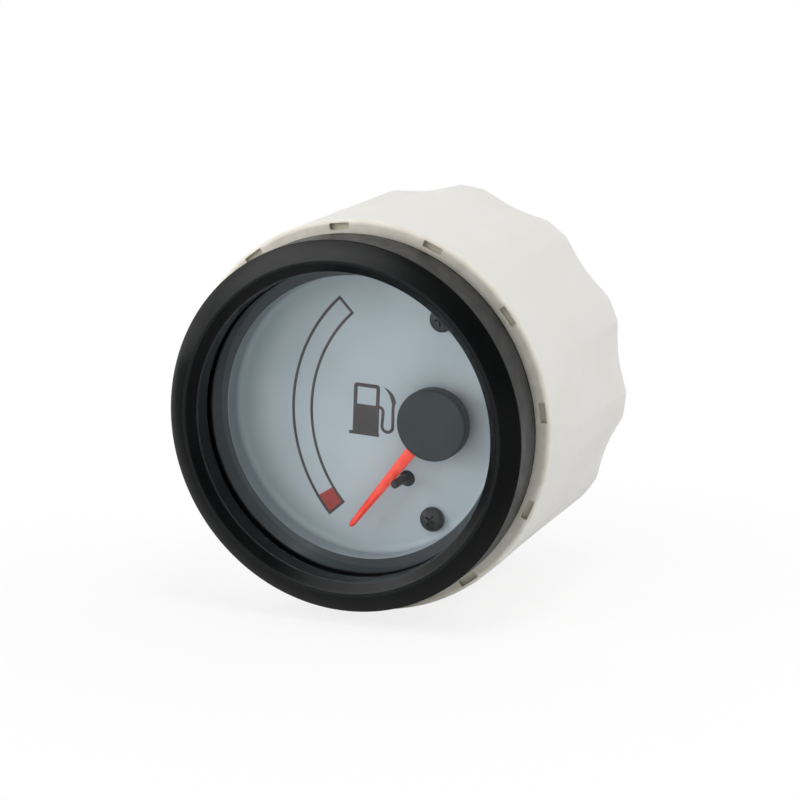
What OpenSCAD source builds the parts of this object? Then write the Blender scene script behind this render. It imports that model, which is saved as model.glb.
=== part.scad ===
// Fuel gauge for a 52 mm dashboard hole, with its spin-on clamp nut.
// Millimetres. The gauge's axis lies along Y, the dial faces -Y and +Z is up.
// The origin is on the axis, in the plane of the bezel's back, where the panel's front face lies.
// Every module is drawn in the face frame: x to the right, y up, z out of the dial to the reader.
// A height above the panel face is positive there, and a depth behind it is negative.

/* [Barrel] */
// Diameter of the panel hole that the gauge passes through
panel_hole_d = 52; // [52:0.5:58]
// Gap between the panel hole and the crest of the barrel's thread
hole_gap = 0.1; // [0.05:0.05:0.4]
// Height of the barrel's thread, whose root the plain barrel follows
thread_h = 0.5; // [0.3:0.05:0.6]
// Wall of the barrel
barrel_wall = 1.5; // [1.3:0.1:2]
// Depth of the case behind the panel face
case_depth = 41; // [40:0.5:50]
// Thickness of the case's floor
floor_t = 2; // [1.6:0.1:3]
// Bevel at the barrel's rear edge
barrel_bevel = 0.8; // [0.3:0.1:1.2]
// Width of the groove that keeps the slip washer from turning
key_w = 3; // [2:0.2:5]
// Depth of that groove
key_depth = 0.8; // [0.6:0.1:0.9]

/* [Flange and seal] */
// Width of the case's flange beyond the barrel
flange_w = 3.2; // [2.6:0.1:5]
// Height of the flange's back above the panel face
seal_seat_h = 0.9; // [0.7:0.1:1.5]
// Height that the seal stands out behind the bezel
seal_proud = 0.35; // [0.2:0.05:0.8]
// Radial width that the bezel's snap bead takes from the flange's back
bead_w = 0.45; // [0.3:0.05:0.6]

/* [Bezel] */
// Wall of the bezel's skirt round the flange
bezel_wall = 1.25; // [1:0.05:2.5]
// Distance from the bezel's outside to the outer edge of its front land
crown_w = 3; // [2:0.1:3.4]
// Width of the flat land on top of the crown
land_w = 0.5; // [0.4:0.1:1]
// Height of the crown above the lip
crown_rise = 3.9; // [3.4:0.1:6]
// Height of the slope between the bezel's side and its land
shoulder_h = 1.7; // [1:0.1:2.5]
// Bow of that slope, outwards in its middle
shoulder_bow = 0.15; // [0.05:0.05:0.4]
// Height of the crease inside the crown above the lip
crease_rise = 2.6; // [1.5:0.1:3]
// Radial step from the crown's inner edge down to the crease
crease_w = 1.5; // [0.8:0.1:1.6]
// Diameter of the window inside the lip
window_d = 49.4; // [47:0.2:49.8]
// Thickness of the lip over the lens
lip_t = 0.3; // [0.2:0.05:0.6]

/* [Lens and shroud] */
// Thickness of the lens
lens_t = 1.6; // [1.2:0.1:2.4]
// Thickness of the gasket under the lens
gasket_t = 0.6; // [0.4:0.1:1]
// Radial width of the gasket
gasket_w = 0.8; // [0.5:0.05:0.9]
// Height of the sloping shroud above the dial's rim
shroud_h = 2.3; // [2:0.1:4]
// Wall of the shroud
shroud_wall = 0.7; // [0.5:0.05:0.8]
// Radial step of the case's mouth beyond the barrel
mouth_w = 0.35; // [0.3:0.05:0.6]
// Thickness of the shroud's top rim
shroud_rim_t = 0.8; // [0.5:0.1:1]

/* [Dial] */
// Depth of the dial's face behind the panel face
dial_depth = 3.8; // [3.4:0.1:4.2]
// Height of the dial's turned-up rim above its face
dish_h = 3.8; // [3.4:0.1:4.2]
// Wall of that rim, which carries the shroud
dish_wall = 0.64; // [0.5:0.02:1]
// Rounding between the dial's face and its rim
dish_round = 0.3; // [0.1:0.05:0.35]
// Thickness of the dial
dial_t = 0.8; // [0.5:0.1:1.2]
// Distance of the pointer's pivot to the right of the axis
pivot_x = 12.3; // [9:0.1:12.6]
// Distance of the middle between the dial screws to the right of the axis
screw_x = 11.9; // [9:0.1:12]
// Distance of a dial screw from that middle
screw_reach = 16.4; // [15:0.1:16.4]
// Clockwise turn of the screws from the vertical
screw_turn = 2.6; // [0:0.1:3]
// Diameter of a dial screw's head
screw_head_d = 4; // [3:0.1:4.4]
// Height of a dial screw's head
screw_head_h = 1.3; // [0.8:0.1:1.8]
// Diameter of the dial's hole that the stop pin's collar fills
pin_hole_d = 2.7; // [2.4:0.1:3.4]

/* [Pointer] */
// Direction of the pointer at rest, anticlockwise from the right
rest_angle = 232; // [220:0.1:240]
// Distance from the pivot to the pointer's tip
pointer_len = 23.1; // [18:0.1:24]
// Width of the pointer at the cap
pointer_root_w = 1.9; // [1.4:0.1:2.4]
// Width of the pointer at its tip
pointer_tip_w = 0.9; // [0.5:0.1:1.2]
// Thickness of the pointer
pointer_t = 0.8; // [0.5:0.1:1]
// Gap between the dial and the pointer's underside
pointer_lift = 2.7; // [2.5:0.1:2.9]
// Diameter of the pointer's cap
cap_d = 11.7; // [10:0.1:14]
// Height of the cap
cap_h = 2.3; // [2.2:0.1:2.6]
// Wall of the cap
cap_wall = 0.7; // [0.5:0.1:0.9]
// Distance from the pivot to the stop pin
stop_dist = 11.6; // [9.5:0.05:12.4]
// Diameter of the stop pin
stop_d = 1.4; // [1:0.1:1.6]
// Height of the stop pin above the dial
stop_h = 4.9; // [4.2:0.1:5.2]
// How far the pin stands off the middle of its collar, which is turned to set the stop
stop_shift = 0.3; // [0.1:0.05:0.35]

/* [Movement] */
// Thickness of the light guide behind the dial
guide_t = 3; // [2:0.1:4]
// Thickness of the movement's frame plate
plate_t = 1.6; // [1.2:0.1:2.4]
// Diameter of the frame's pillars
pillar_d = 4.4; // [4:0.1:5]
// Distance of the third pillar to the left of the axis
pillar_x = 20.2; // [17:0.1:20.6]
// Diameter of the pointer's spindle
spindle_d = 1.2; // [1:0.05:1.5]
// Diameter of the spindle bearings
bearing_d = 3.6; // [3:0.1:4]
// Diameter of the rotor magnet
magnet_d = 9; // [7:0.1:9.5]
// Thickness of the rotor magnet
magnet_t = 4; // [3:0.1:5]
// Side of the square bobbin
bobbin_side = 12; // [11.4:0.1:12.2]
// Length of the closed bobbin along the spindle
bobbin_len = 13; // [12:0.1:14]
// Thickness of a coil's winding
coil_t = 1.2; // [0.8:0.05:1.3]
// Width of each half of a coil
coil_w = 2.4; // [1.6:0.1:2.6]
// Gap between a coil's halves, where the spindle passes
coil_split = 2.4; // [2:0.1:2.6]
// Diameter of the steel shield can
shield_d = 21; // [20.8:0.1:21.8]
// Wall of the shield can
shield_wall = 0.6; // [0.4:0.05:0.7]

/* [Board and rear] */
// Thickness of the circuit board
board_t = 1.6; // [1:0.1:2]
// Gap between the board and the case's floor
board_gap = 4.4; // [4.2:0.1:5.5]
// Diameter of a case screw's head
case_screw_head_d = 5; // [4.4:0.1:5.4]
// Diameter of a case screw's shank
case_screw_d = 2; // [1.6:0.1:2.2]
// Width of a terminal blade
blade_w = 6.3; // [4.8:0.1:6.5]
// Thickness of a terminal blade
blade_t = 0.8; // [0.5:0.1:1]
// Length of a terminal blade behind its boss
blade_len = 8.2; // [7:0.1:10]
// Distance between the terminal blades
blade_pitch = 10; // [9.6:0.1:10.4]
// Distance of the terminal row above the axis
blade_row_y = 10; // [9:0.1:11]
// Wall of the boss round a terminal blade
boss_wall = 1.2; // [0.8:0.1:1.6]
// Length of the ballast resistor
resistor_len = 9.5; // [7:0.1:10]
// Width and height of the ballast resistor
resistor_w = 4.5; // [3:0.1:5]
// Distance of the ballast resistor above the axis
resistor_y = 1.5; // [0:0.1:3]
// Distance of the bulb holder to the left of the axis
bulb_x = 6; // [4:0.1:8]
// Distance of the bulb holder below the axis
bulb_y = 9; // [9:0.1:11]
// Diameter of the bulb holder's body
holder_d = 11.6; // [10:0.1:12]
// Diameter of the bulb holder's flange
holder_flange_d = 16; // [15.4:0.1:17]
// Diameter of the wedge bulb
bulb_d = 5; // [4:0.1:5.6]
// Turn that frees the bulb holder
holder_turn = 60; // [45:1:75]

/* [Clamp nut] */
// Length of the clamp nut
nut_len = 39.7; // [34:0.1:40.2]
// Gap between the bezel's back and the nut's front rim
nut_front_gap = 0.5; // [0.4:0.05:1]
// Thickness of the nut's body between its bore and its front rim
nut_wall = 5.7; // [5.4:0.1:8]
// How much smaller the rear crests are than the front rim, in radius
nut_taper = 0.35; // [0.1:0.05:0.6]
// Number of flutes round the nut
flutes = 12; // [8:1:16]
// Share of each pitch that the flute takes, with the plain crest as the rest
flute_share = 0.74; // [0.5:0.02:0.85]
// Depth of the flutes at the nut's rear
flute_depth = 1.15; // [0.5:0.05:1.3]
// Length at the nut's front that has no flutes
flute_start = 5; // [3:0.5:10]
// Direction of one flute, anticlockwise from the right
flute_angle = 8.3; // [0:0.1:30]
// Rounding of the nut's front rim
rim_round = 0.8; // [0.4:0.1:0.9]
// Rounding of the nut's rear edge
rear_round = 0.5; // [0.3:0.1:0.8]
// Width of a rim pocket round the nut
pocket_w = 3.4; // [2:0.1:4]
// Radial height of a rim pocket
pocket_h = 1.1; // [0.8:0.05:1.2]
// Depth of a rim pocket
pocket_depth = 1.5; // [0.8:0.1:3]
// Wall between a rim pocket and the nut's outside
pocket_wall = 0.5; // [0.4:0.05:0.7]
// Turn of the pockets from the flutes
pocket_turn = -1.5; // [-3:0.1:3]
// Thickness of the slip washer
washer_t = 1; // [0.8:0.1:1.6]
// Radial width of the slip washer
washer_w = 2.4; // [2:0.1:2.6]

/* [Hidden] */

$fn = 96;
// Overrun of a cut past the face it opens
cut = 1;
// Gap between two pieces that are assembled by hand and don't move
seat_gap = 0.15;
// Gap between a fixed pin or bush and its hole
pin_gap = 0.05;
// Running gap of the spindle in its bearings
spindle_gap = 0.05;
// Gap between faces that slide or turn on each other
slide_gap = 0.05;
// Gap of a turning or sliding piece that is only guided
guide_gap = 0.2;
// Gap between a press-fitted spindle and its hole
press_gap = 0.01;
// Radial gap round the thread's crest and round the slip washer
thread_gap = 0.3;
// Length of a screw's thread in a pillar, and the pilot hole's room past its end
screw_grip = 6;
pilot_gap = 0.3;

// Barrel, from the panel hole inwards
barrel_r = panel_hole_d / 2 - hole_gap - thread_h;
bore_r = barrel_r - barrel_wall;
floor_z = -case_depth + floor_t;

// Stack behind the window: dial, its rim, shroud, gasket, lens, lip
dial_z = -dial_depth;
rim_z = dial_z + dish_h;
shroud_top = rim_z + shroud_h;
lens_back = shroud_top + gasket_t;
lens_front = lens_back + lens_t;
lip_z = lens_front + lip_t;

// Dial and the sloping shroud
dial_r = bore_r - guide_gap;
view_r = dial_r - dish_wall;
window_r = window_d / 2;
flange_r = barrel_r + flange_w;
flange_front = lens_back - slide_gap * 2;
mouth_r = barrel_r + mouth_w;
rim_r = mouth_r - seat_gap;
shroud_top_r = rim_r - gasket_w + pin_gap;
shroud_slope = (shroud_top_r - view_r) / shroud_h;
rim_back = shroud_top - shroud_rim_t;
mouth_step = rim_back - slide_gap;

// Bezel
skirt_r = flange_r + seat_gap;
bezel_r = skirt_r + bezel_wall;
bezel_top = lip_z + crown_rise;
land_outer_r = bezel_r - crown_w;
land_inner_r = land_outer_r - land_w;
crease_r = land_inner_r - crease_w;
bead_low = 0.3;
bead_high = seal_seat_h - slide_gap;
seal_outer_r = flange_r - bead_w - seat_gap * 2;
seal_inner_r = barrel_r + seat_gap;

// Pointer, its cap and its stop
pointer_z = dial_z + pointer_lift;
cap_z = pointer_z + pointer_t + cap_wall - cap_h;
cap_r = cap_d / 2;
hub_r = 2.6;
tail_gap = 0.5;
tail_len = cap_r - cap_wall - tail_gap;
stop_half_w = pointer_half_width(stop_dist);
stop_angle = rest_angle + asin((stop_half_w + stop_d / 2 + slide_gap) / stop_dist);
stop_x = pivot_x + stop_dist * cos(stop_angle);
stop_y = stop_dist * sin(stop_angle);
collar_pos = [stop_x + stop_shift * cos(stop_angle + 90), stop_y + stop_shift * sin(stop_angle + 90)];
collar_sink = 0.1;
pin_floor = 0.35;

// Movement behind the dial
guide_back = dial_z - dial_t - guide_t;
plate_back = guide_back - plate_t;
coil_gap = 0.4;
coil_front = plate_back - coil_gap;
bobbin_front_z = coil_front - 2 * coil_t;
bobbin_back_z = bobbin_front_z - bobbin_len;
bobbin_mid_z = bobbin_front_z - bobbin_len / 2;
rotor_gap = 0.6;
rotor_r = magnet_d / 2 + rotor_gap;
rotor_half = magnet_t / 2 + rotor_gap;
can_back = bobbin_back_z - 2 * coil_t - shield_wall - coil_gap;
cup_floor = 1;
cup_h = 2.4;
cup_top = bobbin_back_z + cup_h;
spindle_r = spindle_d / 2;
spindle_top = pointer_z + pointer_t - guide_gap;
spindle_end = bobbin_back_z + cup_floor + guide_gap;
screw_pos = [for (way = [1, -1])
    [screw_x + way * screw_reach * sin(screw_turn), way * screw_reach * cos(screw_turn)]];
pillar_pos = concat(screw_pos, [[-pillar_x, 0]]);
dial_screw_d = 1.6;
dial_screw_len = dial_t + guide_t + screw_grip;

// Board and rear
board_back = floor_z + board_gap;
board_front = board_back + board_t;
boss_h = 1;
case_screw_len = floor_t + board_gap + board_t + screw_grip;
resistor_top = board_front + resistor_w;
resistor_x = -pillar_x + pillar_d / 2 + coil_gap * 2 + resistor_len / 2;
blade_x = [for (i = [-1.3, -0.3, 0.7]) i * blade_pitch];
blade_tip_z = -case_depth - boss_h - blade_len;
tail_w = blade_w / 2;
holder_r = holder_d / 2;
lug_w = 1.5;
lug_r = holder_r + lug_w;
lug_t = 1.4;
lug_span = 40;
notch_gap = 3;
socket_h = 3;
socket_top = floor_z + socket_h;
slot_depth = 4;

// Clamp nut and slip washer
nut_bore_r = barrel_r + thread_h + thread_gap;
nut_front = -nut_front_gap;
nut_back = nut_front - nut_len;
nut_rim_r = nut_bore_r + nut_wall;
nut_tail_r = nut_rim_r - nut_taper;
washer_front = -seal_proud - slide_gap;
washer_back = washer_front - washer_t;
washer_inner_r = barrel_r + thread_h + slide_gap * 2;
washer_outer_r = washer_inner_r + washer_w;
recess_r = washer_outer_r + thread_gap;
recess_floor = washer_back - slide_gap;
flute_pitch = 360 / flutes;
round_steps = 2;
flute_steps = 6;
crest_steps = 2;

// Half width of the tapered pointer at a distance from the pivot
function pointer_half_width(d) =
    (pointer_root_w + (pointer_tip_w - pointer_root_w) * (d - cap_d / 2) / (pointer_len - cap_d / 2)) / 2;

// Points of a quarter ellipse from angle a to angle b
function arc_points(cx, cy, rx, ry, a, b, steps) =
    [for (i = [0:steps]) let (t = a + (b - a) * i / steps) [cx + rx * cos(t), cy + ry * sin(t)]];

// Points from a to b on a line that bows to its right
function bowed(a, b, bow, steps) =
    let (d = b - a, side = [d[1], -d[0]] / norm(d))
    [for (i = [0:steps]) let (t = i / steps) a + d * t + side * bow * 4 * t * (1 - t)];

// Depth share of a flute at an angle: a crease at the plain crest, deepest in the middle
function flute_form(angle) =
    let (turn = (angle - flute_angle) / flute_pitch, off = turn - round(turn))
    abs(off) < flute_share / 2 ? cos(off / flute_share * 180) : 0;

// Turns the face frame into the part's frame
module face() {
    rotate([90, 0, 0]) children();
}

// A round block between two heights
module disc(r, z_low, z_high) {
    translate([0, 0, z_low]) cylinder(r = r, h = z_high - z_low);
}

// A tube between two heights
module tube(r_out, r_in, z_low, z_high) {
    difference() {
        disc(r_out, z_low, z_high);
        disc(r_in, z_low - cut, z_high + cut);
    }
}

// A block centred on x and y, between two heights
module block(w, d, z_low, z_high) {
    translate([-w / 2, -d / 2, z_low]) cube([w, d, z_high - z_low]);
}

module at_pivot() {
    translate([pivot_x, 0, 0]) children();
}

// Bezel: a moulded ring whose front rises to a narrow crown and drops in two slopes to the lens.
module bezel() {
    shoulder_z = bezel_top - shoulder_h;
    outline = concat(
        [[bezel_r, 0]],
        bowed([bezel_r, shoulder_z], [land_outer_r, bezel_top], shoulder_bow, 8),
        [[land_inner_r, bezel_top], [crease_r, lip_z + crease_rise]],
        [[window_r, lip_z], [window_r, lens_front]],
        [[rim_r + seat_gap, lens_front], [rim_r + seat_gap, flange_front + slide_gap]],
        [[skirt_r, flange_front + slide_gap], [skirt_r, bead_high]],
        [[skirt_r - bead_w, (bead_low + bead_high) / 2], [skirt_r, bead_low], [skirt_r, 0]]);
    color("#1b1b1d") face() rotate_extrude() polygon(outline);
}

// Lens: a clear disc clamped between the bezel's lip and the gasket.
module lens() {
    color([0.85, 0.92, 0.95, 0.3]) face() disc(rim_r, lens_back, lens_front);
}

module lens_gasket() {
    color("#101010") face() tube(rim_r, rim_r - gasket_w, shroud_top, lens_back);
}

// Shroud: a cone that stands on the dial's rim, with a rim of its own on the case's step.
module shroud() {
    low_out = view_r + shroud_wall;
    rim_low_r = view_r + shroud_slope * (rim_back - rim_z) + shroud_wall;
    color("#3c4346") face() rotate_extrude()
        polygon([[view_r, rim_z], [shroud_top_r, shroud_top], [rim_r, shroud_top],
                 [rim_r, rim_back], [rim_low_r, rim_back], [low_out, rim_z]]);
}

// Dial: a printed dish, with a turned-up rim and holes for the spindle, the screws and the stop pin.
module dial() {
    back = dial_z - dial_t;
    color("#b9c3cb") face() difference() {
        rotate_extrude()
            polygon(concat([[0, back], [dial_r, back], [dial_r, rim_z], [view_r, rim_z]],
                           arc_points(view_r - dish_round, dial_z + dish_round, dish_round, dish_round,
                                      0, -90, 4),
                           [[0, dial_z]]));
        at_pivot() disc(bearing_d / 2 + pin_gap, back - cut, dial_z + cut);
        for (p = screw_pos) {
            translate(p) disc(dial_screw_d / 2 + guide_gap, back - cut, dial_z + cut);
        }
        translate(collar_pos) disc(pin_hole_d / 2, back - cut, dial_z + cut);
    }
}

// A dial screw: a low domed head and a thin shank.
module dial_screw() {
    edge_share = 0.45;
    edge_h = screw_head_h * edge_share;
    head_r = screw_head_d / 2;
    rotate_extrude()
        polygon(concat([[0, -dial_screw_len], [dial_screw_d / 2, -dial_screw_len],
                        [dial_screw_d / 2, 0], [head_r, 0]],
                       arc_points(0, edge_h, head_r, screw_head_h - edge_h, 0, 90, 6)));
}

module dial_screws() {
    color("#17181a") face() for (p = screw_pos) {
        translate([p[0], p[1], dial_z]) dial_screw();
    }
}

// Stop pin: its shank and collar turn together in the plate and the dial, and the pin is eccentric to them.
module stop_pin() {
    bevel = 0.25;
    pin_r = stop_d / 2;
    collar_top = dial_z - collar_sink;
    pin_top = dial_z + stop_h;
    color("#202225") face() union() {
        translate(collar_pos) {
            disc(pin_r, plate_back + pin_floor + slide_gap, collar_top);
            disc(pin_hole_d / 2 - pin_gap, dial_z - dial_t, collar_top);
        }
        translate([stop_x, stop_y, 0]) rotate_extrude()
            polygon([[0, dial_z - dial_t / 2], [pin_r, dial_z - dial_t / 2], [pin_r, pin_top - bevel],
                     [pin_r - bevel, pin_top], [0, pin_top]]);
    }
}

// Light guide: a clear disc that spreads the bulb's light behind the dial.
module light_guide() {
    color([0.9, 0.95, 1, 0.6]) face() difference() {
        disc(dial_r, guide_back, dial_z - dial_t);
        at_pivot() disc(bearing_d / 2 + pin_gap, guide_back - cut, dial_z);
        for (p = screw_pos) {
            translate(p) disc(dial_screw_d / 2 + guide_gap, guide_back - cut, dial_z);
        }
        translate(collar_pos) disc(stop_d / 2 + pin_gap, guide_back - cut, dial_z);
    }
}

// Movement frame: the plate that carries the dial, the movement and three pillars to the board.
module movement_frame() {
    color("#e8e6df") face() difference() {
        union() {
            disc(dial_r, plate_back, guide_back);
            for (p = pillar_pos) {
                translate(p) disc(pillar_d / 2, board_front, plate_back + cut / 2);
            }
        }
        at_pivot() disc(bearing_d / 2 + pin_gap, plate_back - cut, guide_back + cut);
        translate(collar_pos) disc(stop_d / 2 + pin_gap, plate_back + pin_floor, guide_back + cut);
        for (p = screw_pos) {
            translate([p[0], p[1], dial_z - dial_screw_len - pilot_gap])
                cylinder(d = dial_screw_d + 2 * pin_gap, h = dial_screw_len);
        }
        for (p = pillar_pos) {
            translate([p[0], p[1], board_front - cut])
                cylinder(d = case_screw_d + 2 * pin_gap, h = cut + screw_grip + pilot_gap);
        }
    }
}

// Front bearing: a brass bush in the frame plate, with its nose through the dial.
module front_bearing() {
    color("#b8974a") face() at_pivot()
        tube(bearing_d / 2, spindle_r + spindle_gap, plate_back, (dial_z + cap_z) / 2);
}

// Rear bearing: a brass cup in the rear half of the bobbin that takes the spindle's end.
module rear_bearing() {
    color("#b8974a") face() at_pivot() difference() {
        disc(bearing_d / 2, bobbin_back_z, cup_top);
        disc(spindle_r + spindle_gap, bobbin_back_z + cup_floor, cup_top + cut);
    }
}

// Half of the bobbin, with its share of the rotor's chamber.
module bobbin_half(z_low, z_high) {
    difference() {
        block(bobbin_side, bobbin_side, z_low, z_high);
        disc(rotor_r, bobbin_mid_z - rotor_half, bobbin_mid_z + rotor_half);
        disc(spindle_r + guide_gap, z_low - cut, z_high + cut);
    }
}

module bobbin_front() {
    leg_r = 0.7;
    leg_at = bobbin_side / 2 - leg_r - 2 * pin_gap;
    color("#dcd8cc") face() at_pivot() {
        bobbin_half(bobbin_mid_z, bobbin_front_z);
        for (sx = [-1, 1], sy = [-1, 1]) {
            translate([sx * leg_at, sy * leg_at, 0]) disc(leg_r, bobbin_front_z - cut / 2, plate_back);
        }
    }
}

module bobbin_rear() {
    color("#dcd8cc") face() at_pivot() difference() {
        bobbin_half(bobbin_back_z, bobbin_mid_z);
        disc(bearing_d / 2 + pin_gap, bobbin_back_z - cut, cup_top);
    }
}

// One winding as two flat loops, one on each side of the spindle.
module winding(inner_w, z_low, z_high) {
    for (side = [-1, 1]) {
        translate([0, side * (coil_split + coil_w) / 2, 0]) difference() {
            block(inner_w + 2 * coil_t, coil_w, z_low - coil_t, z_high + coil_t);
            block(inner_w, coil_w + cut, z_low, z_high);
        }
    }
}

module coil_inner() {
    color("#a5572a") face() at_pivot() winding(bobbin_side, bobbin_back_z, bobbin_front_z);
}

module coil_outer() {
    color("#b4622f") face() at_pivot() rotate([0, 0, 90])
        winding(bobbin_side, bobbin_back_z - coil_t, bobbin_front_z + coil_t);
}

// Shield can: a deep-drawn steel cup over the coils, open towards the frame plate.
module shield_can() {
    color("#9aa0a4") face() at_pivot() difference() {
        disc(shield_d / 2, can_back, plate_back);
        disc(shield_d / 2 - shield_wall, can_back + shield_wall, plate_back + cut);
    }
}

// Circuit board: a disc with holes for the bulb, the screws and the blades' tails.
module circuit_board() {
    edge_gap = 1.2;
    bulb_gap = 1;
    color("#3f6b3d") face() difference() {
        disc(bore_r - edge_gap, board_back, board_front);
        translate([-bulb_x, -bulb_y, 0]) disc(bulb_d / 2 + bulb_gap, board_back - cut, board_front + cut);
        for (p = pillar_pos) {
            translate(p) disc(case_screw_d / 2 + guide_gap, board_back - cut, board_front + cut);
        }
        for (x = blade_x) {
            translate([x, blade_row_y, 0])
                block(tail_w + 2 * pin_gap, blade_t + 2 * pin_gap,
                      board_back - cut, board_front + cut);
        }
    }
}

// Ballast resistor: a ceramic block on the board, with both top edges bevelled.
module ballast_resistor() {
    bevel = 0.8;
    color("#d9d4c7") face() translate([resistor_x, resistor_y, 0]) difference() {
        block(resistor_len, resistor_w, board_front, resistor_top);
        for (side = [-1, 1]) {
            translate([side * resistor_len / 2, 0, resistor_top]) rotate([0, 45, 0])
                cube([bevel, resistor_w + cut, bevel], center = true);
        }
    }
}

// Case: a cup with a front flange, a conical mouth for the shroud and a keyed barrel.
module case() {
    color("#222326") face() difference() {
        union() {
            case_shell();
            for (p = pillar_pos) {
                translate(p) disc(pillar_d / 2, floor_z - cut / 2, board_back);
            }
            for (x = blade_x) {
                translate([x, blade_row_y, 0])
                    block(blade_w + 2 * boss_wall, blade_t + 2 * boss_wall,
                          -case_depth - boss_h, -case_depth + cut);
            }
        }
        key_groove();
        for (x = blade_x) {
            translate([x, blade_row_y, 0])
                block(blade_w + 2 * pin_gap, blade_t + 2 * pin_gap,
                      -case_depth - boss_h - cut, floor_z + cut);
        }
        for (p = pillar_pos) {
            translate(p) disc(case_screw_d / 2 + guide_gap, -case_depth - cut, board_back + cut);
        }
        holder_hole();
    }
}

// The case's wall as one turned section, from the floor's centre round the flange and back inside.
module case_shell() {
    step_r = view_r + shroud_slope * (mouth_step - rim_z) + shroud_wall + seat_gap;
    rotate_extrude()
        polygon([[0, -case_depth], [barrel_r - barrel_bevel, -case_depth],
                 [barrel_r, -case_depth + barrel_bevel], [barrel_r, seal_seat_h],
                 [flange_r, seal_seat_h], [flange_r, flange_front], [mouth_r, flange_front],
                 [mouth_r, mouth_step], [step_r, mouth_step], [bore_r, rim_z - slide_gap],
                 [bore_r, floor_z], [0, floor_z]]);
}

// Groove along the underside of the barrel for the slip washer's tab.
module key_groove() {
    translate([-key_w / 2, -barrel_r - cut, -case_depth - cut])
        cube([key_w, cut + key_depth, case_depth + cut]);
}

// Round hole for the bulb holder, with two notches that pass its lugs.
module holder_hole() {
    translate([-bulb_x, -bulb_y, 0]) {
        disc(holder_r + guide_gap, -case_depth - cut, floor_z + cut);
        for (side = [0, 180]) {
            rotate(side - holder_turn - lug_span / 2 - notch_gap) translate([0, 0, -case_depth - cut])
                rotate_extrude(angle = lug_span + 2 * notch_gap)
                    square([lug_r + guide_gap, floor_t + 2 * cut]);
        }
    }
}

// A pan-head screw drawn with its head to the rear.
module case_screw() {
    edge_h = 0.9;
    dome_h = 1;
    mirror([0, 0, 1]) rotate_extrude()
        polygon(concat([[0, -case_screw_len], [case_screw_d / 2, -case_screw_len],
                        [case_screw_d / 2, 0], [case_screw_head_d / 2, 0]],
                       arc_points(0, edge_h, case_screw_head_d / 2, dome_h, 0, 90, 6)));
}

module case_screws() {
    color("#8f9498") face() for (p = pillar_pos) {
        translate([p[0], p[1], -case_depth]) case_screw();
    }
}

// Panel seal: a rubber ring behind the flange that the panel is pressed against.
module panel_seal() {
    color("#0d0d0e") face() tube(seal_outer_r, seal_inner_r, -seal_proud, seal_seat_h);
}

// A flat terminal blade with a narrow tail, a tapered tip and a latching hole.
module blade(x) {
    shoulder_z = board_back - guide_gap;
    tail_z = board_front + blade_t;
    taper = 1.2;
    hole_r = 0.9;
    hole_from_tip = 3.8;
    hole_z = blade_tip_z + hole_from_tip;
    translate([x, blade_row_y + blade_t / 2, 0]) rotate([90, 0, 0]) linear_extrude(blade_t) difference() {
        polygon([[-tail_w / 2, tail_z], [-tail_w / 2, shoulder_z], [-blade_w / 2, shoulder_z],
                 [-blade_w / 2, blade_tip_z + taper], [-blade_w / 2 + taper, blade_tip_z],
                 [blade_w / 2 - taper, blade_tip_z], [blade_w / 2, blade_tip_z + taper],
                 [blade_w / 2, shoulder_z], [tail_w / 2, shoulder_z], [tail_w / 2, tail_z]]);
        translate([0, hole_z]) circle(r = hole_r);
    }
}

module supply_blade() {
    color("#c9b27a") face() blade(blade_x[0]);
}

module sender_blade() {
    color("#c9b27a") face() blade(blade_x[1]);
}

module earth_blade() {
    color("#c9b27a") face() blade(blade_x[2]);
}

// Pointer: a hub on the spindle, a tapered arm and a short tail that balances it.
module pointer() {
    root = cap_r;
    color("#e8392c") face() at_pivot() rotate(rest_angle) difference() {
        translate([0, 0, pointer_z]) linear_extrude(pointer_t) union() {
            circle(r = hub_r);
            polygon([[0, -pointer_root_w / 2], [root, -pointer_root_w / 2],
                     [pointer_len - pointer_tip_w / 2, -pointer_tip_w / 2],
                     [pointer_len, 0], [pointer_len - pointer_tip_w / 2, pointer_tip_w / 2],
                     [root, pointer_root_w / 2], [0, pointer_root_w / 2]]);
            translate([-tail_len, -pointer_root_w]) square([tail_len, 2 * pointer_root_w]);
        }
        disc(spindle_r + press_gap, pointer_z - cut, spindle_top + press_gap);
    }
}

// Cap: a shallow cup that sits on the hub, with a slot in its skirt for the arm.
module pointer_cap() {
    edge = 0.3;
    top = cap_z + cap_h;
    color("#2f3538") face() at_pivot() rotate(rest_angle) difference() {
        rotate_extrude()
            polygon([[0, cap_z], [cap_r, cap_z], [cap_r, top - edge],
                     [cap_r - edge, top], [0, top]]);
        disc(cap_r - cap_wall, cap_z - cut, top - cap_wall);
        translate([0, -pointer_root_w / 2 - pin_gap, cap_z - cut])
            cube([cap_r + cut, pointer_root_w + 2 * pin_gap, pointer_z + pointer_t - cap_z + cut]);
    }
}

module spindle() {
    color("#c8ccd0") face() at_pivot() disc(spindle_r, spindle_end, spindle_top);
}

module rotor_magnet() {
    color("#55595c") face() at_pivot()
        tube(magnet_d / 2, spindle_r + press_gap, bobbin_mid_z - magnet_t / 2, bobbin_mid_z + magnet_t / 2);
}

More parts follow.
